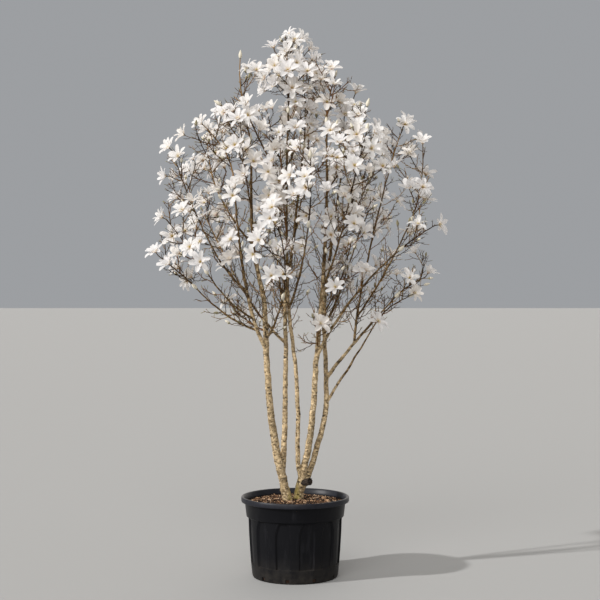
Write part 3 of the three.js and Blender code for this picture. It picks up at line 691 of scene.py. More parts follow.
limbs = {}
for name, ends, flare, parent, height, through in STEMS:
    foot = [at_height(limbs[parent]["points"], height)] if parent else []
    control = [*foot, *(vec(*p) for p in through)]
    points = spline(control, STEM_STEPS * len(control))
    fine = spline(control, STEM_STEPS * len(control) * STEM_FINENESS)
    limbs[name] = {"points": points, "radii": taper(points, ends, flare), "fine": fine,
                   "fine_radii": taper(fine, ends, flare), "parent": parent, "sides": STEM_SIDES}
for name, parent, height, via, tip, ends in BOUGHS:
    curve = (at_height(limbs[parent]["points"], height), vec(*via), vec(*tip))
    points = bend(*curve, BOUGH_STEPS)
    fine = bend(*curve, BOUGH_STEPS * BOUGH_FINENESS)
    limbs[name] = {"points": points, "radii": taper(points, ends, 0), "fine": fine,
                   "fine_radii": taper(fine, ends, 0), "parent": parent, "sides": BOUGH_SIDES}


def frames_along(points):
    """At each point of a chain, its direction and two more square to it, turning as little as they can."""
    ahead = np.gradient(points, axis=0)
    ahead /= np.linalg.norm(ahead, axis=1)[:, None]
    across = np.empty_like(ahead)
    side = vec(1, 0, 0) if abs(ahead[0][0]) < abs(ahead[0][2]) else vec(0, 0, 1)
    for i, direction in enumerate(ahead):
        side = unit(side - direction * (side @ direction))
        across[i] = side
    return ahead, across, np.cross(ahead, across)


def ring_round(across, over, sides):
    """The directions to a ring's corners, from two directions square to the line."""
    turns = np.arange(sides) * 2 * math.pi / sides
    return across[:, None] * np.cos(turns)[None, :, None] + over[:, None] * np.sin(turns)[None, :, None]


def tube_faces(rings, sides):
    """Quads between the rings of a tube, and the two fans that close it onto its last two corners."""
    ring = np.arange(rings - 1)[:, None] * sides
    k = np.arange(sides)[None, :]
    after = (k + 1) % sides
    quads = np.stack([ring + k, ring + after, ring + sides + after, ring + sides + k], axis=-1).reshape(-1, 4)
    k, after = k.ravel(), after.ravel()
    foot = np.stack([after, k, np.full(sides, rings * sides)], axis=-1)
    last = (rings - 1) * sides
    tip = np.stack([last + k, last + after, np.full(sides, rings * sides + 1)], axis=-1)
    return quads, np.vstack([foot, tip])


def limb_mesh(name, limb, scars):
    """A limb's bark: rings every few millimetres, swollen at old nodes, with knots, scars and a collar."""
    shuffle = np.random.default_rng(LIMB_SEED + sum(map(ord, name)))
    run = lengths_along(limb["fine"])
    count = int(run[-1] / RING_SPACING)
    stations = np.linspace(0, run[-1], count + 1)
    points = np.column_stack([np.interp(stations, run, limb["fine"][:, axis]) for axis in range(3)])
    radii = np.interp(stations, run, limb["fine_radii"])
    if limb["parent"]:
        radii = radii * (1 + COLLAR_SWELL * np.exp(-stations / (COLLAR_REACH * radii[0])))
    else:
        points = np.vstack([points[0] - vec(0, 0, SUNK_FOOT), points])
        radii = np.concatenate([radii[:1] * SUNK_SWELL, radii])
        stations = np.concatenate([[-SUNK_FOOT], stations])
    nodes = np.cumsum(shuffle.uniform(*NODE_SPACINGS, NODES))
    for node in nodes[nodes < run[-1]]:
        radii = radii * (1 + shuffle.uniform(*NODE_SWELLS) * np.exp(-((stations - node) / NODE_WIDTH) ** 2))
    from_end = np.minimum(stations, stations[-1] - stations).clip(0)
    wander = np.array([noise.noise_vector(Vector(point) / WANDER_LENGTH) for point in points])
    points = points + WANDER * wander * np.minimum(1, from_end / WANDER_FREE_END)[:, None]
    _, across, over = frames_along(points)
    around = ring_round(across, over, limb["sides"])
    swell = np.empty((len(points), limb["sides"]))
    for i, point in enumerate(points):
        for k in range(limb["sides"]):
            spot = Vector(point + around[i, k] * radii[i])
            swell[i, k] = sum(share * noise.noise(spot / size) for share, size in LUMPS)
    surface = points[:, None] + around * (radii[:, None] * (1 + swell))[:, :, None]
    for height, turn, size in scars:
        facing = vec(math.cos(turn), math.sin(turn), SCAR_TILT)
        spot = at_height(points, height) + facing * np.interp(height, points[:, 2], radii)
        away = np.linalg.norm(surface - spot, axis=2)
        lip = SCAR_LIP * size * np.exp(-(away / size) ** 2)
        hollow = SCAR_HOLLOW * size * np.exp(-(away / (SCAR_HOLLOW_WIDTH * size)) ** 2)
        surface = surface + around * (lip - hollow)[:, :, None]
    corners = np.vstack([surface.reshape(-1, 3), points[[0, -1]]]) * MM
    girth = np.concatenate([np.repeat(radii, limb["sides"]), radii[[0, -1]]])
    return corners, tube_faces(len(points), limb["sides"]), girth


def bark_finish():
    """Pale spotted bark on what is thick and low, going over to dark brown bark on what is thin or high."""
    bark = Finish("magnolia_bark", Specular_IOR_Level=0.22)
    girth = bark.node("ShaderNodeAttribute", {"attribute_name": "girth"}, output=2)
    level = bark.axis(2)
    across = bark.axis(0)
    age = girth.between(4.0, 8.6) * (1 - 0.75 * level.between(1.05, 1.60))
    shed = bark.noise(48, (1, 1, 0.7), 5, 0.7) - 0.5
    old = (age + 1.7 * shed).between(0.38, 0.56)
    patches = bark.noise(14, (1, 1, 0.6), 6, 0.68).between(0.46, 0.64)
    mottle = bark.noise(62, (1, 1, 1.2), 4, 0.62).between(0.32, 0.64)
    streaks = bark.noise(85, (1, 1, 0.5), 4, 0.6).between(0.50, 0.66)
    ragged = bark.noise(130, detail=4, roughness=0.7) * 0.5 - 0.25
    pores = bark.noise(76, (1, 1, 1.6), 4, 0.64).between(0.590, 0.630)
    peeling = bark.noise(88, (1, 1, 1.5), 4, 0.6).between(0.58, 0.66)
    cells = bark.node("ShaderNodeTexVoronoi", {}, {"Vector": bark.place((1, 1, 1.8)), "Scale": 24})
    spots = 1 - (cells + ragged).between(0.6 * SCAB_SIZE, SCAB_SIZE)
    scabs = spots * bark.noise(11, detail=2).between(0.42, 0.54)
    in_fork = across.between(-0.040, -0.022) * (1 - across.between(0.010, 0.030))
    moss = (1 - level.between(0.40, 0.50)) * bark.noise(24, detail=4).between(0.36, 0.60) * in_fork
    pale = bark.blend(mottle, (0.115, 0.076, 0.036), (0.660, 0.500, 0.295))
    pale = bark.blend(patches * 0.58, pale, (0.090, 0.062, 0.026))
    pale = bark.blend(peeling * 0.7, pale, (0.800, 0.665, 0.470))
    pale = bark.blend(moss * 0.75, pale, (0.360, 0.290, 0.050))
    young = bark.blend(mottle, (0.014, 0.008, 0.003), (0.140, 0.083, 0.031))
    young = bark.blend(streaks * level.between(2.0, 1.2) * 0.60, young, (0.530, 0.370, 0.190))
    colour = bark.blend(old, young, pale)
    colour = bark.blend(pores * 0.90, colour, (0.026, 0.018, 0.011))
    colour = bark.blend(scabs * 0.9 * age, colour, (0.022, 0.015, 0.010))
    height = mottle * 0.6 + pores * 0.6 - scabs * 0.8
    return bark.feed(Base_Color=colour, Roughness=0.74 + mottle * 0.18, Normal=bark.relief(height, 0.0026))


# Without a seed, the noise that limbs wander by starts elsewhere on each run
noise.seed_set(LIMB_SEED)
bark_material = bark_finish()
for name, limb in limbs.items():
    scars = [(height, math.radians(turn), size) for carrier, height, turn, size in SCARS if carrier == name]
    corners, (quads, triangles), girth = limb_mesh(name, limb, scars)
    bark_heap = Heap()
    bark_heap.add(corners, quads, triangles)
    piece = bark_heap.pieces(f"{name}_bark", [bark_material])[0]
    piece.data.attributes.new("girth", "FLOAT", "POINT").data.foreach_set("value", girth.astype(np.float32))
    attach(piece, "root")
    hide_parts(name)

# The pruning stub low on the right: a knobbly dark peg of old wood, cut square and hollowed at its end.
STUB_SIDES = 24
STUB_DROP = 5
STUB_CUTS = 7
STUB_KNOBS = 0.0045
KNOBS_IN_A_METRE = 95
CUT_LIP = 0.0022
CUT_SLOPE = 0.0025
CUT_HOLLOW = 0.0022
FACES_OUT = 0.9
stub_foot = at_height(limbs[STUB["limb"]]["points"], STUB["height"]) - vec(0, 0, STUB_DROP)
stub_tip = stub_foot + vec(*STUB["reach"])
stub_axis = Vector(stub_tip - stub_foot)
bpy.ops.object.select_all(action="DESELECT")
bpy.ops.mesh.primitive_cone_add(
    vertices=STUB_SIDES, radius1=STUB["radius"][0] * MM, radius2=STUB["radius"][1] * MM,
    depth=stub_axis.length * MM, location=Vector((stub_foot + stub_tip) / 2) * MM,
    rotation=stub_axis.to_track_quat("Z", "Y").to_euler())
stub = bpy.context.object
stub.name = "pruning_stub"
bpy.ops.object.transform_apply()
bpy.ops.object.mode_set(mode="EDIT")
select_where(lambda face: face.normal.dot(stub_axis.normalized()) > FACES_OUT, "FACE")
bpy.ops.mesh.inset(thickness=CUT_LIP)
bpy.ops.mesh.inset(thickness=CUT_SLOPE, depth=-CUT_HOLLOW)
bpy.ops.mesh.select_all(action="SELECT")
bpy.ops.mesh.subdivide(number_cuts=STUB_CUTS)
bpy.ops.object.mode_set(mode="OBJECT")
for vertex in stub.data.vertices:
    vertex.co += vertex.normal * STUB_KNOBS * noise.fractal(vertex.co * KNOBS_IN_A_METRE, 0.6, 2.0, 3)
cut_wood = Finish("cut_wood", Roughness=0.9)
cracks = cut_wood.noise(160, detail=5, roughness=0.7)
stub.data.materials.append(
    cut_wood.grained(cracks, (0.42, 0.66), (0.006, 0.004, 0.003), (0.050, 0.030, 0.017), 0.002))
bpy.ops.object.shade_smooth()
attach(stub, "root")
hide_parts("stem_right_inner")

# -----------------------------------------------------------------------------------------------------------
# Twigs: each mass grows from one leading shoot by the same seeded rule as its solid, so that every twig and
# blossom of the solids is here. The rule is then carried on to finer twigs, and along the boughs themselves.
# -----------------------------------------------------------------------------------------------------------
GAP = 0.3
# name, seed, limb it grows from, height if it leaves the limb's side, tip, side twigs, their reach, bloom
MASSES = [
    ("twigs_crown_tip", 270, "stem_middle", None, (-20, 5, 2590), 11, 190, 1),
    ("twigs_left_top", 1468, "stem_left", None, (-350, -90, 2255), 6, 190, 0.9),
    ("twigs_back_top", 465, "stem_left_inner", None, (40, 215, 2420), 6, 180, 0.8),
    ("twigs_right_inner_top", 1606, "stem_right_inner", None, (190, -95, 2390), 6, 180, 0.85),
    ("twigs_right_top", 1110, "stem_right", None, (292, 200, 2340), 6, 190, 0.7),
    ("twigs_left", 1394, "bough_left", None, (-425, -160, 2145), 6, 190, 0.9),
    ("twigs_left_low", 45, "bough_left_low", None, (-650, -100, 1540), 5, 170, 0.75),
    ("twigs_left_front", 1343, "bough_left_front", None, (-592, -260, 1700), 6, 180, 0.75),
    ("twigs_left_mid", 633, "bough_left_mid", None, (-585, -80, 2040), 6, 190, 0.9),
    ("twigs_front_left", 1670, "bough_front_left", None, (-95, -400, 1730), 7, 190, 0.5),
    ("twigs_back_left", 1601, "bough_back_left", None, (-440, 220, 2130), 6, 190, 0.7),
    ("twigs_back_left_low", 768, "bough_back_left_low", None, (-480, 400, 1790), 6, 200, 0.6),
    ("twigs_back", 940, "bough_back", None, (-140, 530, 1880), 6, 200, 0.6),
    ("twigs_back_high", 428, "bough_back_high", None, (70, 450, 2220), 6, 190, 0.7),
    ("twigs_front", 425, "bough_front", None, (70, -450, 1960), 6, 190, 0.55),
    ("twigs_top_left", 1235, "bough_top_left", None, (-262, -75, 2478), 6, 150, 0.7),
    ("twigs_right_front", 1458, "bough_right_front", None, (650, -240, 1675), 5, 170, 0.6),
    ("twigs_front_right", 66, "bough_front_right", None, (320, -440, 2080), 6, 190, 0.6),
    ("twigs_right", 1152, "bough_right", None, (628, -10, 1440), 5, 150, 0.5),
    ("twigs_right_high", 1666, "bough_right_high", None, (532, 130, 2185), 6, 180, 0.75),
    ("twigs_right_mid", 1651, "bough_right_mid", None, (604, -125, 2050), 6, 180, 0.75),
    ("twigs_right_low", 76, "bough_right_low", None, (560, 170, 1345), 5, 150, 0.45),
    ("twigs_back_right", 505, "bough_back_right", None, (430, 450, 1900), 6, 200, 0.6),
    ("twigs_left_front_high", 1710, "stem_left", 1760, (-250, -330, 2140), 6, 180, 0.8),
    ("twigs_crown_front", 318, "stem_middle", 1640, (-70, -250, 2080), 6, 170, 0.7),
    ("twigs_right_inner_high", 792, "stem_right_inner", 1850, (335, -200, 2230), 6, 170, 0.75),
    ("twigs_right_inner_mid", 611, "stem_right_inner", 1560, (350, -80, 1900), 6, 170, 0.6),
    ("twigs_right_back", 1796, "stem_right", 1660, (400, 270, 2130), 6, 170, 0.7),
    ("twigs_crown_back", 1427, "stem_left_inner", 1830, (-140, 290, 2270), 6, 180, 0.7),
    ("twigs_low_left", 995, "stem_left", 1180, (-312, 0, 1308), 3, 90, 0.4),
    ("twigs_low_right", 995, "stem_right", 1270, (268, 15, 1590), 6, 150, 0.5),
    ("twigs_low_front", 613, "stem_right_inner", 1110, (108, -185, 1205), 3, 100, 0.3),
]
# height and half width of the crown, and its depth over its width
CROWN = [(1050, 300), (1200, 370), (1330, 550), (1440, 640), (1700, 680), (2060, 620), (2170, 540),
         (2240, 420), (2330, 330), (2440, 235), (2560, 125), (2630, 40)]
CROWN_MIDDLE = 12
CROWN_DEPTH = 0.92
LEADER_STEPS = 4
LEADER_BEND = 0.45
SIDE_LEADER_BEND = vec(0.62, 0.62, 0.36)
GOLDEN_TURN = 2.39996
TWIG_PLACES = (0.1, 0.92)
TWIG_SLANT = (0.75, 1.1)
TWIG_LENGTH_AT = (1.15, 0.65)
TWIG_LENGTH_BY_CHANCE = (0.75, 1.2)
TWIG_STEPS = 2
TWIG_LIFT = vec(0, 0, 0.3)
TWIG_CLEARANCE = 1
SHORTEST_TWIG = 35
SHORTER_TRIES = (1, 0.7, 0.45)
TESTED_SHARES = (0.25, 0.5, 0.75, 1)
SPUR_PLACES = (0.45, 0.7)
SPUR_SPREAD = 0.9
SPUR_LENGTH = 0.5
SPUR_BLOOM = 0.7
LEADER_RADII = (4, 3.6, 2)
TWIG_RADII = (1.2, 2.4, 1.6)
SPUR_RADII = (1, 1.8, 1.4)
BLOSSOM_RADIUS = (50, 60)
SMALLER_TRY = 0.85
STALK = 14
RECEPTACLE = 9
BLOSSOM_SPACING = 66
FACING = {"twig": 0.6, "outward": 0.4, "light": 0.55, "chance": 0.6}
LIGHT = vec(-0.3, -0.75, 0.4)
HEART_CLEARANCE = 9
BLOSSOM_RINGS = [(0.35, 0.06, 5, HEART_CLEARANCE), (0.7, 0.12, 8, HEART_CLEARANCE), (1, 0.16, 12, 2.5)]
BUD_WAIST = (14, 7.5)
BUD_REACH = 35
BUD_SHARE = 0.25


def seeded(seed):
    """A stream of numbers from 0 to 1 that is the same on every run."""
    word = 2 ** 32
    state = (seed * 2654435761) % word

    def draw():
        nonlocal state
        state = (state + 0x6D2B79F5) % word
        mixed = (state ^ (state >> 15)) * (state | 1) % word
        mixed ^= (mixed + (mixed ^ (mixed >> 7)) * (mixed | 61)) % word
        return (mixed ^ (mixed >> 14)) / word
    return draw


def between(ends, share):
    """The number a share of the way from one end to the other."""
    return ends[0] + (ends[1] - ends[0]) * share


def direction_at(points, i):
    return unit(points[min(i + 1, len(points) - 1)] - points[max(i - 1, 0)])


def point_along(points, t):
    """The spot and direction at a share of a line's steps."""
    place = min(t, 0.9999) * (len(points) - 1)
    i = int(place)
    step = points[i + 1] - points[i]
    return points[i] + step * (place - i), unit(step)


def square_to(direction, turn):
    """A direction square to another, turned round it."""
    side = unit(vec(direction[1], -direction[0], 0.001))
    return unit(side * math.cos(turn) + np.cross(direction, side) * math.sin(turn))


masses = []
for name, seed, limb_name, height, tip, twigs, reach, bloom in MASSES:
    limb_points = limbs[limb_name]["points"]
    tip = vec(*tip)
    if height is None:
        heading = direction_at(limb_points, len(limb_points) - 1)
        foot = limb_points[-1] + heading * GAP
        via = foot + heading * LEADER_BEND * np.linalg.norm(tip - foot)
    else:
        foot = at_height(limb_points, height)
        via = foot + SIDE_LEADER_BEND * (tip - foot)
    masses.append({"name": name, "number": len(masses), "seed": seed, "twigs": twigs, "reach": reach,
                   "bloom": bloom, "points": bend(foot, via, tip, LEADER_STEPS)})

leader_feet = np.concatenate([mass["points"][:-1] for mass in masses])
leader_spans = np.concatenate([np.diff(mass["points"], axis=0) for mass in masses])
limb_feet = np.concatenate([limb["points"][:-1] for limb in limbs.values()])
limb_spans = np.concatenate([np.diff(limb["points"], axis=0) for limb in limbs.values()])
limb_radii = np.concatenate([limb["radii"][:-1] for limb in limbs.values()])
limb_radius_steps = np.concatenate([np.diff(limb["radii"]) for limb in limbs.values()])


def distances(spots, feet, spans):
    """From each spot to each stretch of line, with how far along it the nearest point is."""
    to_spot = spots[:, None] - feet[None]
    share = np.clip((to_spot * spans).sum(2) / (spans * spans).sum(1), 0, 1)
    return np.linalg.norm(to_spot - share[:, :, None] * spans, axis=2), share


def room(spots, mass):
    """The room round each spot: to the edge of its mass's share of the crown and to the nearest bark."""
    spots = np.asarray(spots, float).reshape(-1, 3)
    away, share = distances(spots, limb_feet, limb_spans)
    least = (away - limb_radii - share * limb_radius_steps).min(1)
    if mass is None:
        return least
    away, _ = distances(spots, leader_feet, leader_spans)
    away = away.reshape(len(spots), len(masses), LEADER_STEPS).min(2)
    others = np.delete(away, mass["number"], axis=1).min(1)
    return np.minimum(least, (others - away[:, mass["number"]]) / 2)


def share_out(spot):
    """How far out a spot is in the crown: 0 on its axis, 1 at its edge."""
    above = next((i for i, (height, _) in enumerate(CROWN) if height > spot[2]), 0)
    if above < 1:
        return math.inf
    low, high = CROWN[above - 1], CROWN[above]
    half = between((low[1], high[1]), (spot[2] - low[0]) / (high[0] - low[0]))
    return math.hypot(spot[0] - CROWN_MIDDLE, spot[1] / CROWN_DEPTH) / half


def inside_crown(spot):
    return share_out(spot) < 1


def shoot(foot, heading, length, steps, lift):
    """A shoot that turns up towards the light at every step."""
    points, direction = [foot], heading
    for _ in range(steps):
        points.append(points[-1] + direction * (length / steps))
        direction = unit(direction + lift)
    return np.array(points)


def shoot_that_fits(foot, heading, length, steps, radius, mass):
    """The longest of three lengths of a shoot that stays in its mass's share, or nothing."""
    for share in SHORTER_TRIES:
        points = shoot(foot, heading, share * length, steps, TWIG_LIFT)
        if share * length < SHORTEST_TWIG or not inside_crown(points[-1]):
            continue
        spots = [a + (b - a) * s for a, b in zip(points, points[1:]) for s in TESTED_SHARES]
        if room(spots, mass).min() > radius + TWIG_CLEARANCE:
            return points
    return None


def blossom_fits(blossom, mass):
    """Whether an open flower has room inside its mass's share."""
    centre, facing, radius = blossom["centre"], blossom["facing"], blossom["radius"]
    spots, least = [centre], [HEART_CLEARANCE]
    for out, lift, count, clearance in BLOSSOM_RINGS:
        for k in range(count):
            side = square_to(facing, 2 * math.pi * k / count)
            spots.append(centre + side * out * radius + facing * lift * radius)
            least.append(clearance)
    return bool((room(spots, mass) > np.array(least)).all())


def end_of(points, due, chances, blossoms, mass):
    """A twig's end: a blossom where it is due and fits, sometimes a flower bud, or nothing."""
    size, turn, wobble, bud_roll = chances
    end = points[-1]
    heading = direction_at(points, len(points) - 1)
    outward = unit(vec(end[0], end[1], 0))
    facing = heading * FACING["twig"] + outward * FACING["outward"] + LIGHT * FACING["light"]
    facing = unit(facing + square_to(heading, 2 * math.pi * turn) * FACING["chance"] * wobble)
    centre = end + facing * (STALK + RECEPTACLE)
    alone = all(np.linalg.norm(other["centre"] - centre) > BLOSSOM_SPACING for other in blossoms)
    if due and alone:
        for share in (1, SMALLER_TRY):
            blossom = {"centre": centre, "facing": facing, "radius": share * between(BLOSSOM_RADIUS, size)}
            if blossom_fits(blossom, mass):
                blossoms.append(blossom)
                return {"blossom": blossom}
    spots = [end + heading * BUD_WAIST[0], end + heading * BUD_REACH]
    if bud_roll < BUD_SHARE and room(spots, mass).min() > BUD_WAIST[1] + TWIG_CLEARANCE:
        return {"bud": True}
    return {}


def grow(mass):
    """All the twigs of a mass with what ends them, as the solid has them."""
    random = seeded(mass["seed"])

    def draw(count):
        return [random() for _ in range(count)]

    blossoms = []
    points = mass["points"]
    due = random() < mass["bloom"]
    twigs = [{"points": points, "radii": LEADER_RADII, "end": end_of(points, due, draw(4), blossoms, mass)}]
    for k in range(mass["twigs"]):
        place, turn, lean, size, spur_place, spur_turn, twig_roll, spur_roll = draw(8)
        twig_end, spur_end = draw(4), draw(4)
        t = between(TWIG_PLACES, (k + place) / mass["twigs"])
        foot, direction = point_along(points, t)
        slant = between(TWIG_SLANT, lean)
        heading = square_to(direction, k * GOLDEN_TURN + turn) * math.sin(slant) + direction * math.cos(slant)
        length = mass["reach"] * between(TWIG_LENGTH_AT, t) * between(TWIG_LENGTH_BY_CHANCE, size)
        twig = shoot_that_fits(foot, unit(heading), length, TWIG_STEPS, TWIG_RADII[1], mass)
        if twig is None:
            continue
        end = end_of(twig, twig_roll < mass["bloom"], twig_end, blossoms, mass)
        twigs.append({"points": twig, "radii": TWIG_RADII, "end": end})
        foot, direction = point_along(twig, between(SPUR_PLACES, spur_place))
        heading = unit(square_to(direction, 2 * math.pi * spur_turn) * SPUR_SPREAD + direction)
        spur = shoot_that_fits(foot, heading, SPUR_LENGTH * length, 1, SPUR_RADII[1], mass)
        if spur is not None and spur_roll < SPUR_BLOOM * mass["bloom"]:
            end = end_of(spur, True, spur_end, blossoms, mass)
            if "blossom" in end:
                twigs.append({"points": spur, "radii": SPUR_RADII, "end": end})
    return twigs, blossoms


# Finer twigs: where along the shoot the first one sits, how far apart they are, how long, how thick at root,
# middle and end, and how far they lean. FINE ones sit on the masses' twigs, ON_BOUGHS ones on stems and
# boughs, and FINER ones on both of these.
FINE = {"start": 0.1, "spacing": (13, 22), "lengths": (26, 110), "radii": (1.7, 1.45, 1.0),
        "slant": (0.55, 1.1), "steps": 3}
FINER = {"start": 0.2, "spacing": (13, 22), "lengths": (12, 50), "radii": (1.15, 1.1, 0.8),
         "slant": (0.5, 1.1), "steps": 2}
ON_BOUGHS = {"start": 0.0, "spacing": (17, 30), "lengths": (45, 230), "radii": (1.9, 1.7, 1.1),
             "slant": (0.5, 1.05), "steps": 4}
LAST_PLACE = 0.97
LONGEST_SHARE = 1.15
SHORTER_BY = 0.5
LOWEST_TWIG = 1140
WORTH_BRANCHING = 38
FINE_LIFT = vec(0, 0, 0.22)
FINE_CLEARANCE = 3
NODE_SPACING = 16
MAIN_KINK = 0.6
FINE_KINK = 2.0
# How many of the finer twigs blossom, by height. Above the crown's shoulder they crowd round its axis and are
# few at its edge.
BLOOM_HEIGHTS = (1400, 1650, 2100, 2200)
BLOOM_SHARES = (0.05, 0.27, 0.26, 0.86)
SHOULDER = 2130
CROWDED_SHARE_OUT = 0.62
EDGE_BLOOM = 0.32
# Left of the first and above the second, the main twigs' own blossom nearly fills the crown
FULL_FLANK = (-250, 1850)
FULL_FLANK_BLOOM = 0.35
FINE_SPACE = 70
CROWDED_SPACE = 60
NEARBY_SPACES = 3
BUD_ROLL = 0.94
EDGE_MARGIN = 20
FINE_SEED = 20000
BOX_MARGIN = 8


def kinked(points, kink, shuffle):
    """A twig's true line: a smooth curve through its points that turns a little at every node."""
    nodes = max(len(points) - 1, int(lengths_along(points)[-1] / NODE_SPACING))
    line = spline(list(points), nodes)
    kinks = shuffle.normal(0, kink, line.shape)
    kinks[[0, -1]] = 0
    return line + kinks


def near_blossoms(blossoms, spot, space):
    """The blossoms near a spot, moved so that the spacing test keeps this much space between them."""
    shrink = BLOSSOM_SPACING / space
    return [{"centre": spot + (other["centre"] - spot) * shrink} for other in blossoms
            if np.linalg.norm(other["centre"] - spot) < NEARBY_SPACES * space]


def fine_end(twig, chances, blossoms):
    """A finer twig's end: like any other's, but clear of all the plant's blossom and inside its box."""
    size, turn, wobble, roll = chances
    bloom = np.interp(twig[-1][2], BLOOM_HEIGHTS, BLOOM_SHARES)
    if twig[-1][0] < FULL_FLANK[0] and twig[-1][2] > FULL_FLANK[1]:
        bloom *= FULL_FLANK_BLOOM
    space = FINE_SPACE
    if twig[-1][2] > SHOULDER:
        crowded = share_out(twig[-1]) < CROWDED_SHARE_OUT
        space = CROWDED_SPACE if crowded else FINE_SPACE
        bloom *= 1 if crowded else EDGE_BLOOM
    end = end_of(twig, roll < bloom, (size, turn, wobble, 1), near_blossoms(blossoms, twig[-1], space), None)
    if "blossom" not in end:
        return {"bud": True} if roll > BUD_ROLL else {}
    blossom = end["blossom"]
    low, high = (np.array(corner) / MM for corner in cad_box)
    past_low = blossom["centre"] - blossom["radius"] < low - BOX_MARGIN
    past_high = blossom["centre"] + blossom["radius"] > high + BOX_MARGIN
    outermost = blossom["centre"] + unit(vec(*blossom["centre"][:2], 0)) * EDGE_MARGIN
    if (past_low | past_high).any() or not inside_crown(outermost):
        return {}
    blossoms.append(blossom)
    return end


def finer_shoot(foot, heading, length, steps):
    """A shoot that keeps inside the crown and off the boughs, tried at three lengths."""
    for share in SHORTER_TRIES:
        points = shoot(foot, heading, share * length, steps, FINE_LIFT)
        if inside_crown(points[-1]) and room(points[1:], None).min() > FINE_CLEARANCE:
            return points
    return None


def finer_twigs(parent, habit, blossoms, shuffle):
    """Short twigs all along a shoot, set round it by the golden turn and longest near its foot."""
    made = []
    length = lengths_along(parent)[-1]
    place, k = shuffle.uniform(*habit["spacing"]) + habit["start"] * length, 0
    while place < LAST_PLACE * length:
        share = place / length
        turn, lean, size = shuffle.random(3)
        foot, direction = point_along(parent, share)
        slant = between(habit["slant"], lean)
        heading = square_to(direction, k * GOLDEN_TURN + turn) * math.sin(slant) + direction * math.cos(slant)
        reach = between(habit["lengths"], size * size) * (LONGEST_SHARE - SHORTER_BY * share)
        twig = finer_shoot(foot, unit(heading), reach, habit["steps"])
        place += shuffle.uniform(*habit["spacing"])
        k += 1
        if twig is not None:
            end = fine_end(twig, shuffle.random(4), blossoms) if habit is not FINER else {}
            made.append({"line": kinked(twig, FINE_KINK, shuffle), "radii": habit["radii"], "end": end})
    return made


twigs, blossoms = [], []
for mass in masses:
    grown, opened = grow(mass)
    twigs += grown
    blossoms += opened
shuffle = np.random.default_rng(FINE_SEED)
for twig in twigs:
    twig["line"] = kinked(twig["points"], MAIN_KINK, shuffle)
bough_twigs = []
for limb in limbs.values():
    line = limb["fine"][limb["fine"][:, 2] > LOWEST_TWIG]
    if len(line) > 1:
        bough_twigs += finer_twigs(line, ON_BOUGHS, blossoms, shuffle)
fine_twigs = []
for twig in twigs:
    fine_twigs += finer_twigs(twig["line"], FINE, blossoms, shuffle)
for twig in [*fine_twigs, *bough_twigs]:
    if lengths_along(twig["line"])[-1] > WORTH_BRANCHING:
        fine_twigs += finer_twigs(twig["line"], FINER, blossoms, shuffle)

TWIG_TONES = {
    "twig_dark": (0.027, 0.014, 0.005), "twig_brown": (0.065, 0.035, 0.012),
    "twig_tan": (0.205, 0.120, 0.044), "twig_rust": (0.135, 0.060, 0.017),
}
TWIG_SHARES = [0.36, 0.32, 0.15, 0.17]
TWIG_NODE_SWELL = 0.14
MAIN_SIDES = 6
BOUGH_TWIG_SIDES = 5
FINE_SIDES = 4


def twig_tube(line, radii, sides):
    """A twig's bark as a closed tube that swells a little at each second node."""
    rings = len(line)
    share = np.linspace(0, 1, rings)
    swell = 1 + TWIG_NODE_SWELL * (np.arange(rings) % 2)
    girth = np.where(share == 0, radii[0], between(radii[1:], share)) * swell
    _, across, over = frames_along(line)
    surface = line[:, None] + ring_round(across, over, sides) * girth[:, None, None]
    corners = np.vstack([surface.reshape(-1, 3), line[[0, -1]]])
    return corners * MM, tube_faces(rings, sides)


def with_stalk(twig):
    """A twig that ends in a blossom goes on into the blossom's stalk."""
    blossom = twig["end"].get("blossom")
    if not blossom:
        return twig["line"]
    return np.vstack([twig["line"], twig["line"][-1] + blossom["facing"] * STALK])


bundle = Heap()
for group, sides in ((twigs, MAIN_SIDES), (bough_twigs, BOUGH_TWIG_SIDES), (fine_twigs, FINE_SIDES)):
    for twig in group:
        corners, (quads, triangles) = twig_tube(with_stalk(twig), twig["radii"], sides)
        bundle.add(corners, quads, triangles, shuffle.choice(len(TWIG_SHARES), p=TWIG_SHARES))
twig_materials = []
for name, tone in TWIG_TONES.items():
    skin = Finish(name, Roughness=0.8, Specular_IOR_Level=0.15)
    specks = skin.noise(700, (1, 1, 1.6), 3)
    twig_materials.append(skin.grained(specks, (0.45, 0.7), tone, shade(tone, 1.6), 0.0006))
mass_names = [mass["name"] for mass in masses]
for piece in bundle.pieces("twigs", twig_materials):
    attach(piece, "root")
    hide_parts(*mass_names)

# -----------------------------------------------------------------------------------------------------------
# Buds: furry flower buds, most of them splitting to show the folded white tepals, and small pointed leaf buds
# along every twig and at its end. They are green-grey and brown, and sit tight on the bark.
# -----------------------------------------------------------------------------------------------------------
BUD_TONES = {
    "bud_fur": (0.290, 0.255, 0.150), "bud_cream": (0.80, 0.74, 0.60),
    "leaf_bud": (0.235, 0.140, 0.062), "leaf_bud_green": (0.270, 0.250, 0.090),
}
FIRST_LEAF_TONE = 2
LEAF_TONES = 2
# [reach, radius] from the foot of a flower bud to its point
BUD_PROFILE = [(0, 1.9), (4, 4.2), (9, 6.6), (14, 7.5), (19, 6.9), (25, 5.0), (31, 2.5), (34.5, 0.9)]
BUD_SIDES = 8
BUD_SIZES = (0.72, 1.0)
SPLITTING_SHARE = 0.85
BUD_OPENING = 4
LEADER_BUD = 1.25
LEADER_BUD_OPENING = 1
BUD_ROOM = 55
LEAF_BUD_SIDES = 3
LEAF_BUD_LENGTH = (4.5, 9.5)
LEAF_BUD_SPACING = (20, 44)
END_BUD_SCALE = 1.15
BARE_END = 8
LEAF_BUD_LEAN = 0.75
LEAF_BUD_SEAT = 0.6


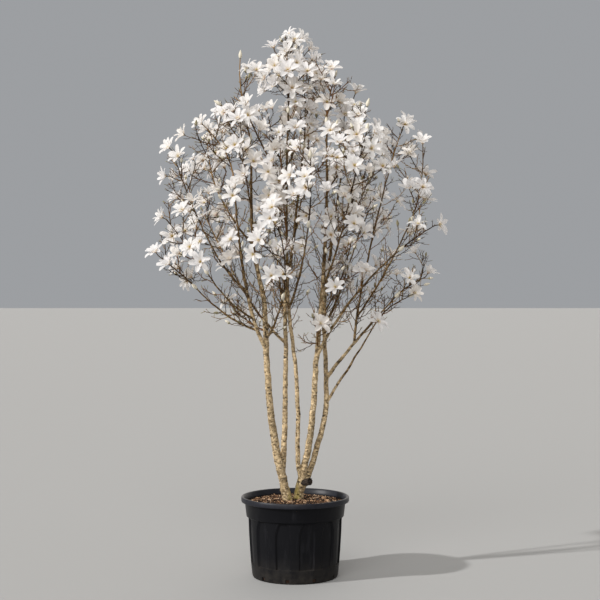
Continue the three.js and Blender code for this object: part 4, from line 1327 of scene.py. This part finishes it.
def spindle(base, heading, profile, sides):
    """A closed pointed shape of revolution along a heading from [reach, radius] rings."""
    side = square_to(heading, 0)
    other = np.cross(heading, side)
    turns = np.arange(sides) * 2 * math.pi / sides
    ring = side * np.cos(turns)[:, None] + other * np.sin(turns)[:, None]
    surface = [base + heading * reach + ring * radius for reach, radius in profile]
    closing = [base + heading * profile[0][0], base + heading * (profile[-1][0] + profile[-1][1])]
    return np.vstack([*surface, closing]) * MM, tube_faces(len(profile), sides)


def add_spindle(heap, base, heading, profile, sides, tint):
    corners, (quads, triangles) = spindle(base, heading, profile, sides)
    heap.add(corners, quads, triangles, tint)


def add_flower_bud(foot, heading, size, split):
    """A furry bud that shows its folded tepals from one ring of its profile on."""
    profile = [(reach * size, radius * size) for reach, radius in BUD_PROFILE]
    rings = np.repeat(np.arange(len(profile) - 1), BUD_SIDES)
    point = 1 if split < len(profile) else 0
    tint = (np.where(rings < split, 0, 1), np.repeat([0, point], BUD_SIDES))
    add_spindle(buds, foot - heading, heading, profile, BUD_SIDES, tint)


buds = Heap()
for limb in limbs.values():
    tip = limb["points"][-1]
    if all(np.linalg.norm(blossom["centre"] - tip) > BUD_ROOM for blossom in blossoms):
        heading = direction_at(limb["points"], len(limb["points"]) - 1)
        add_flower_bud(tip, heading, LEADER_BUD, LEADER_BUD_OPENING)
for twig in [*twigs, *bough_twigs, *fine_twigs]:
    line = twig["line"]
    length = lengths_along(line)[-1]
    heading = direction_at(line, len(line) - 1)
    if twig["end"].get("bud"):
        size = shuffle.uniform(*BUD_SIZES)
        splitting = shuffle.random() < SPLITTING_SHARE
        split = BUD_OPENING - shuffle.integers(0, BUD_OPENING) if splitting else len(BUD_PROFILE)
        add_flower_bud(line[-1], heading, size, split)
    elif not twig["end"].get("blossom"):
        size = shuffle.uniform(*LEAF_BUD_LENGTH) * END_BUD_SCALE
        tone = FIRST_LEAF_TONE + shuffle.integers(0, LEAF_TONES)
        if twig["radii"] == LEADER_RADII:
            add_flower_bud(line[-1], heading, LEADER_BUD, LEADER_BUD_OPENING)
        else:
            profile = [(-0.5, twig["radii"][2]), (0.35 * size, 0.20 * size), (0.95 * size, 0.05 * size)]
            add_spindle(buds, line[-1], heading, profile, LEAF_BUD_SIDES, tone)
    place, k = shuffle.uniform(*LEAF_BUD_SPACING), 0
    while place < length - BARE_END:
        spot, direction = point_along(line, place / length)
        side = square_to(direction, k * GOLDEN_TURN + length)
        size = shuffle.uniform(*LEAF_BUD_LENGTH)
        profile = [(0, 0.20 * size), (0.9 * size, 0.06 * size)]
        foot = spot + side * twig["radii"][2] * LEAF_BUD_SEAT
        tone = FIRST_LEAF_TONE + shuffle.integers(0, LEAF_TONES)
        add_spindle(buds, foot, unit(side * LEAF_BUD_LEAN + direction), profile, LEAF_BUD_SIDES, tone)
        place += shuffle.uniform(*LEAF_BUD_SPACING)
        k += 1
bud_materials = []
for name, tone in BUD_TONES.items():
    skin = Finish(name, Roughness=0.8, Specular_IOR_Level=0.2, Sheen_Weight=0.35)
    hairs = skin.noise(900, (1, 1, 0.4), 3)
    bud_materials.append(skin.grained(hairs, (0.35, 0.65), shade(tone, 0.62), tone, 0.0008))
for piece in buds.pieces("buds", bud_materials):
    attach(piece, "root")
    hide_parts(*mass_names)

# -----------------------------------------------------------------------------------------------------------
# Blossom: nine or so long white tepals in two whorls, narrow at the claw and round at the tip, round a green
# cone with a ruff of cream stamens. The split fur of the bud stays under each flower.
# -----------------------------------------------------------------------------------------------------------
TEPAL_TONES = {
    "tepal_white": (0.900, 0.882, 0.866), "tepal_cream": (0.885, 0.852, 0.815),
    "tepal_cool": (0.870, 0.855, 0.850), "tepal_base": (0.860, 0.795, 0.700),
    "tepal_claw": (0.74, 0.58, 0.43), "tepal_blush": (0.75, 0.58, 0.51),
}
WHITES = 3
WHITE_SHARES = [0.5, 0.2, 0.3]
BLUSH_SHARE = 0.45
TEPAL_ROWS = np.array([0, 0.12, 0.28, 0.47, 0.66, 0.82, 0.94, 1.0])
TEPAL_COLUMNS = np.array([-1, -0.52, 0, 0.52, 1])
TEPAL_HALF_WIDTH = 0.216
TEPAL_WIDTHS = (0.84, 1.16)
TEPAL_LENGTHS = (0.94, 1.08)
TEPAL_THINNESS = 0.50
WIDEST_AT = 0.61
ROUND_TIP_AT = 1.03
CLAW_WIDTH = 0.34
CLAW_START = 0.045
CUPPING = (0.08, 0.42)
TWIST = 0.16
SWAY = 0.08
RIPPLE = 0.05
MIDRIB = 0.06
EASE = 1.2
# Degrees that a tepal slopes up in a closed flower, how many it loses as the flower opens, and unevenness
CLAW_SLOPE = {"closed": 58, "fall": 30, "uneven": 0.09}
TIP_SLOPE = {"closed": 34, "fall": 62, "uneven": 0.19}
TIP_STEEPER = 1.5
OPENNESS = (1.6, 1.1)
TURN_UNEVEN = 0.17
# Numbers of tepals to choose from, length, how much steeper, how much higher
OUTER_WHORL = ([5, 6, 6, 7], 1.0, 0.0, -2.5)
INNER_WHORL = ([2, 3, 3, 4], 0.86, 0.38, -1.6)
HEART_TONES = {
    "cone_green": (0.47, 0.43, 0.12), "stamen": (0.70, 0.47, 0.20), "split_fur": (0.20, 0.165, 0.09),
}
CONE_TONE, STAMEN_TONE, FUR_TONE = range(3)
FUR_PROFILE = [(0, 1.6), (3, 3.0), (6.5, 3.6), (9.5, 2.6)]
FUR_SIDES = 7
CONE_PROFILE = [(0, 2.2), (3, 3.1), (6, 2.9), (9, 1.9), (11, 0.8)]
CONE_SIDES = 8
CONE_SEAT = 1.5
STAMEN_PROFILE = [(1.5, 0.55), (5, 0.75), (7.5, 0.35)]
STAMEN_SIDES = 3
STAMEN_SEAT = 1.0
STAMENS = 16
STAMEN_SPREAD = 0.9
STAMEN_RISES = (0.5, 1.2)
STAMEN_UNEVEN = 0.1


def tepal_width(s):
    """A tepal's width over its greatest width, at a share s of its length."""
    rising = CLAW_WIDTH + (1 - CLAW_WIDTH) * np.sin(np.clip(s / WIDEST_AT, 0, 1) * math.pi / 2) ** EASE
    falling = np.sqrt(np.clip(1 - ((s - WIDEST_AT) / (ROUND_TIP_AT - WIDEST_AT)) ** 2, 0, 1))
    return np.where(s < WIDEST_AT, rising, falling)


def tepal(length, start, turn, slopes, shuffle):
    """The corners of one tepal, out along a turn in the flower's frame; the slopes are at claw and tip."""
    half = length * TEPAL_HALF_WIDTH * shuffle.uniform(*TEPAL_WIDTHS)
    slope = slopes[0] + (slopes[1] - slopes[0]) * TEPAL_ROWS ** EASE
    steps = np.diff(TEPAL_ROWS)
    middle_slope = (slope[1:] + slope[:-1]) / 2
    out = start + length * np.concatenate([[0], np.cumsum(steps * np.cos(middle_slope))])
    up = length * np.concatenate([[0], np.cumsum(steps * np.sin(middle_slope))])
    width = half * tepal_width(TEPAL_ROWS)
    cup = shuffle.uniform(*CUPPING)
    twist = shuffle.normal(0, TWIST)
    sway = shuffle.normal(0, SWAY) * length
    ripple = shuffle.normal(0, RIPPLE, (len(TEPAL_ROWS), len(TEPAL_COLUMNS))) * half
    v = TEPAL_COLUMNS[None, :]
    lift = (cup * v * v + twist * v * TEPAL_ROWS[:, None] - MIDRIB * (v == 0)) * width[:, None] + ripple
    lift[0] = 0
    outs = out[:, None] - lift * np.sin(slope)[:, None]
    ups = up[:, None] + lift * np.cos(slope)[:, None]
    sides = v * width[:, None] + sway * TEPAL_ROWS[:, None] ** 2
    c, s = math.cos(turn), math.sin(turn)
    return np.stack([outs * c - sides * s, outs * s + sides * c, ups], axis=-1).reshape(-1, 3)


def slope_of(end, openness, steep, shuffle):
    """How steeply one end of a tepal climbs, in radians."""
    return math.radians(end["closed"] - end["fall"] * openness) + steep + shuffle.normal(0, end["uneven"])


def let_light_through(finish, colour, share):
    """Makes a material a thin skin that passes part of the light on to its far side."""
    glow = finish.node("ShaderNodeBsdfTranslucent", {}, {"Color": colour})
    skin = Wire(finish, finish.shader.outputs["BSDF"])
    both = finish.node("ShaderNodeMixShader", {}, {0: share, 1: skin, 2: glow})
    finish.tree.links.new(both.socket, finish.tree.nodes["Material Output"].inputs["Surface"])


columns = len(TEPAL_COLUMNS)
row, column = np.meshgrid(np.arange(len(TEPAL_ROWS) - 1), np.arange(columns - 1), indexing="ij")
first = (row * columns + column).ravel()
tepal_quads = np.stack([first, first + columns, first + columns + 1, first + 1], axis=-1)
tepal_quad_rows = row.ravel()

petals, hearts = Heap(), Heap()
for blossom in blossoms:
    centre, facing, radius = blossom["centre"], blossom["facing"], blossom["radius"]
    side = square_to(facing, shuffle.uniform(0, 2 * math.pi))
    to_plant = np.stack([side, np.cross(facing, side), facing])
    openness = shuffle.beta(*OPENNESS)
    tone = shuffle.choice(WHITES, p=WHITE_SHARES)
    claw = WHITES + 1 + (shuffle.random() < BLUSH_SHARE)
    tint = np.where(tepal_quad_rows > 1, tone, np.where(tepal_quad_rows > 0, WHITES, claw))
    counts = [shuffle.choice(whorl[0]) for whorl in (OUTER_WHORL, INNER_WHORL)]
    for count, (_, size, steep, rise) in zip(counts, (OUTER_WHORL, INNER_WHORL)):
        start = shuffle.uniform(0, 2 * math.pi)
        for k in range(count):
            turn = start + 2 * math.pi * (k + shuffle.uniform(-TURN_UNEVEN, TURN_UNEVEN)) / count
            claw_slope = slope_of(CLAW_SLOPE, openness, steep, shuffle)
            tip_slope = slope_of(TIP_SLOPE, openness, TIP_STEEPER * steep, shuffle)
            length = radius * size * shuffle.uniform(*TEPAL_LENGTHS)
            corners = tepal(length, CLAW_START * radius, turn, (claw_slope, tip_slope), shuffle)
            corners[:, 2] += rise
            petals.add((centre + corners @ to_plant) * MM, tepal_quads, tint=(tint, 0))
    fur_foot = centre - facing * (RECEPTACLE + CONE_SEAT)
    add_spindle(hearts, fur_foot, facing, FUR_PROFILE, FUR_SIDES, FUR_TONE)
    add_spindle(hearts, centre - facing * CONE_SEAT, facing, CONE_PROFILE, CONE_SIDES, CONE_TONE)
    for k in range(STAMENS):
        across = square_to(facing, 2 * math.pi * k / STAMENS + shuffle.normal(0, STAMEN_UNEVEN))
        spread = unit(across * STAMEN_SPREAD + facing * shuffle.uniform(*STAMEN_RISES))
        foot = centre - facing * STAMEN_SEAT
        add_spindle(hearts, foot, spread, STAMEN_PROFILE, STAMEN_SIDES, STAMEN_TONE)

tepal_materials = []
for name, tone in TEPAL_TONES.items():
    silk = Finish(name, Roughness=0.55, Specular_IOR_Level=0.25)
    veins = silk.noise(260, detail=2)
    tepal_materials.append(silk.grained(veins, (0.4, 0.7), shade(tone, 0.955), tone, 0.0012, 0.5))
    let_light_through(silk, tone, TEPAL_THINNESS)
heart_materials = []
for name, tone in HEART_TONES.items():
    skin = Finish(name, Roughness=0.75, Specular_IOR_Level=0.2)
    knobs = skin.noise(900, detail=2)
    heart_materials.append(skin.grained(knobs, (0.35, 0.65), shade(tone, 0.7), tone, 0.0008))
for piece in [*petals.pieces("tepals", tepal_materials), *hearts.pieces("flower_hearts", heart_materials)]:
    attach(piece, "root")
    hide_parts(*mass_names)
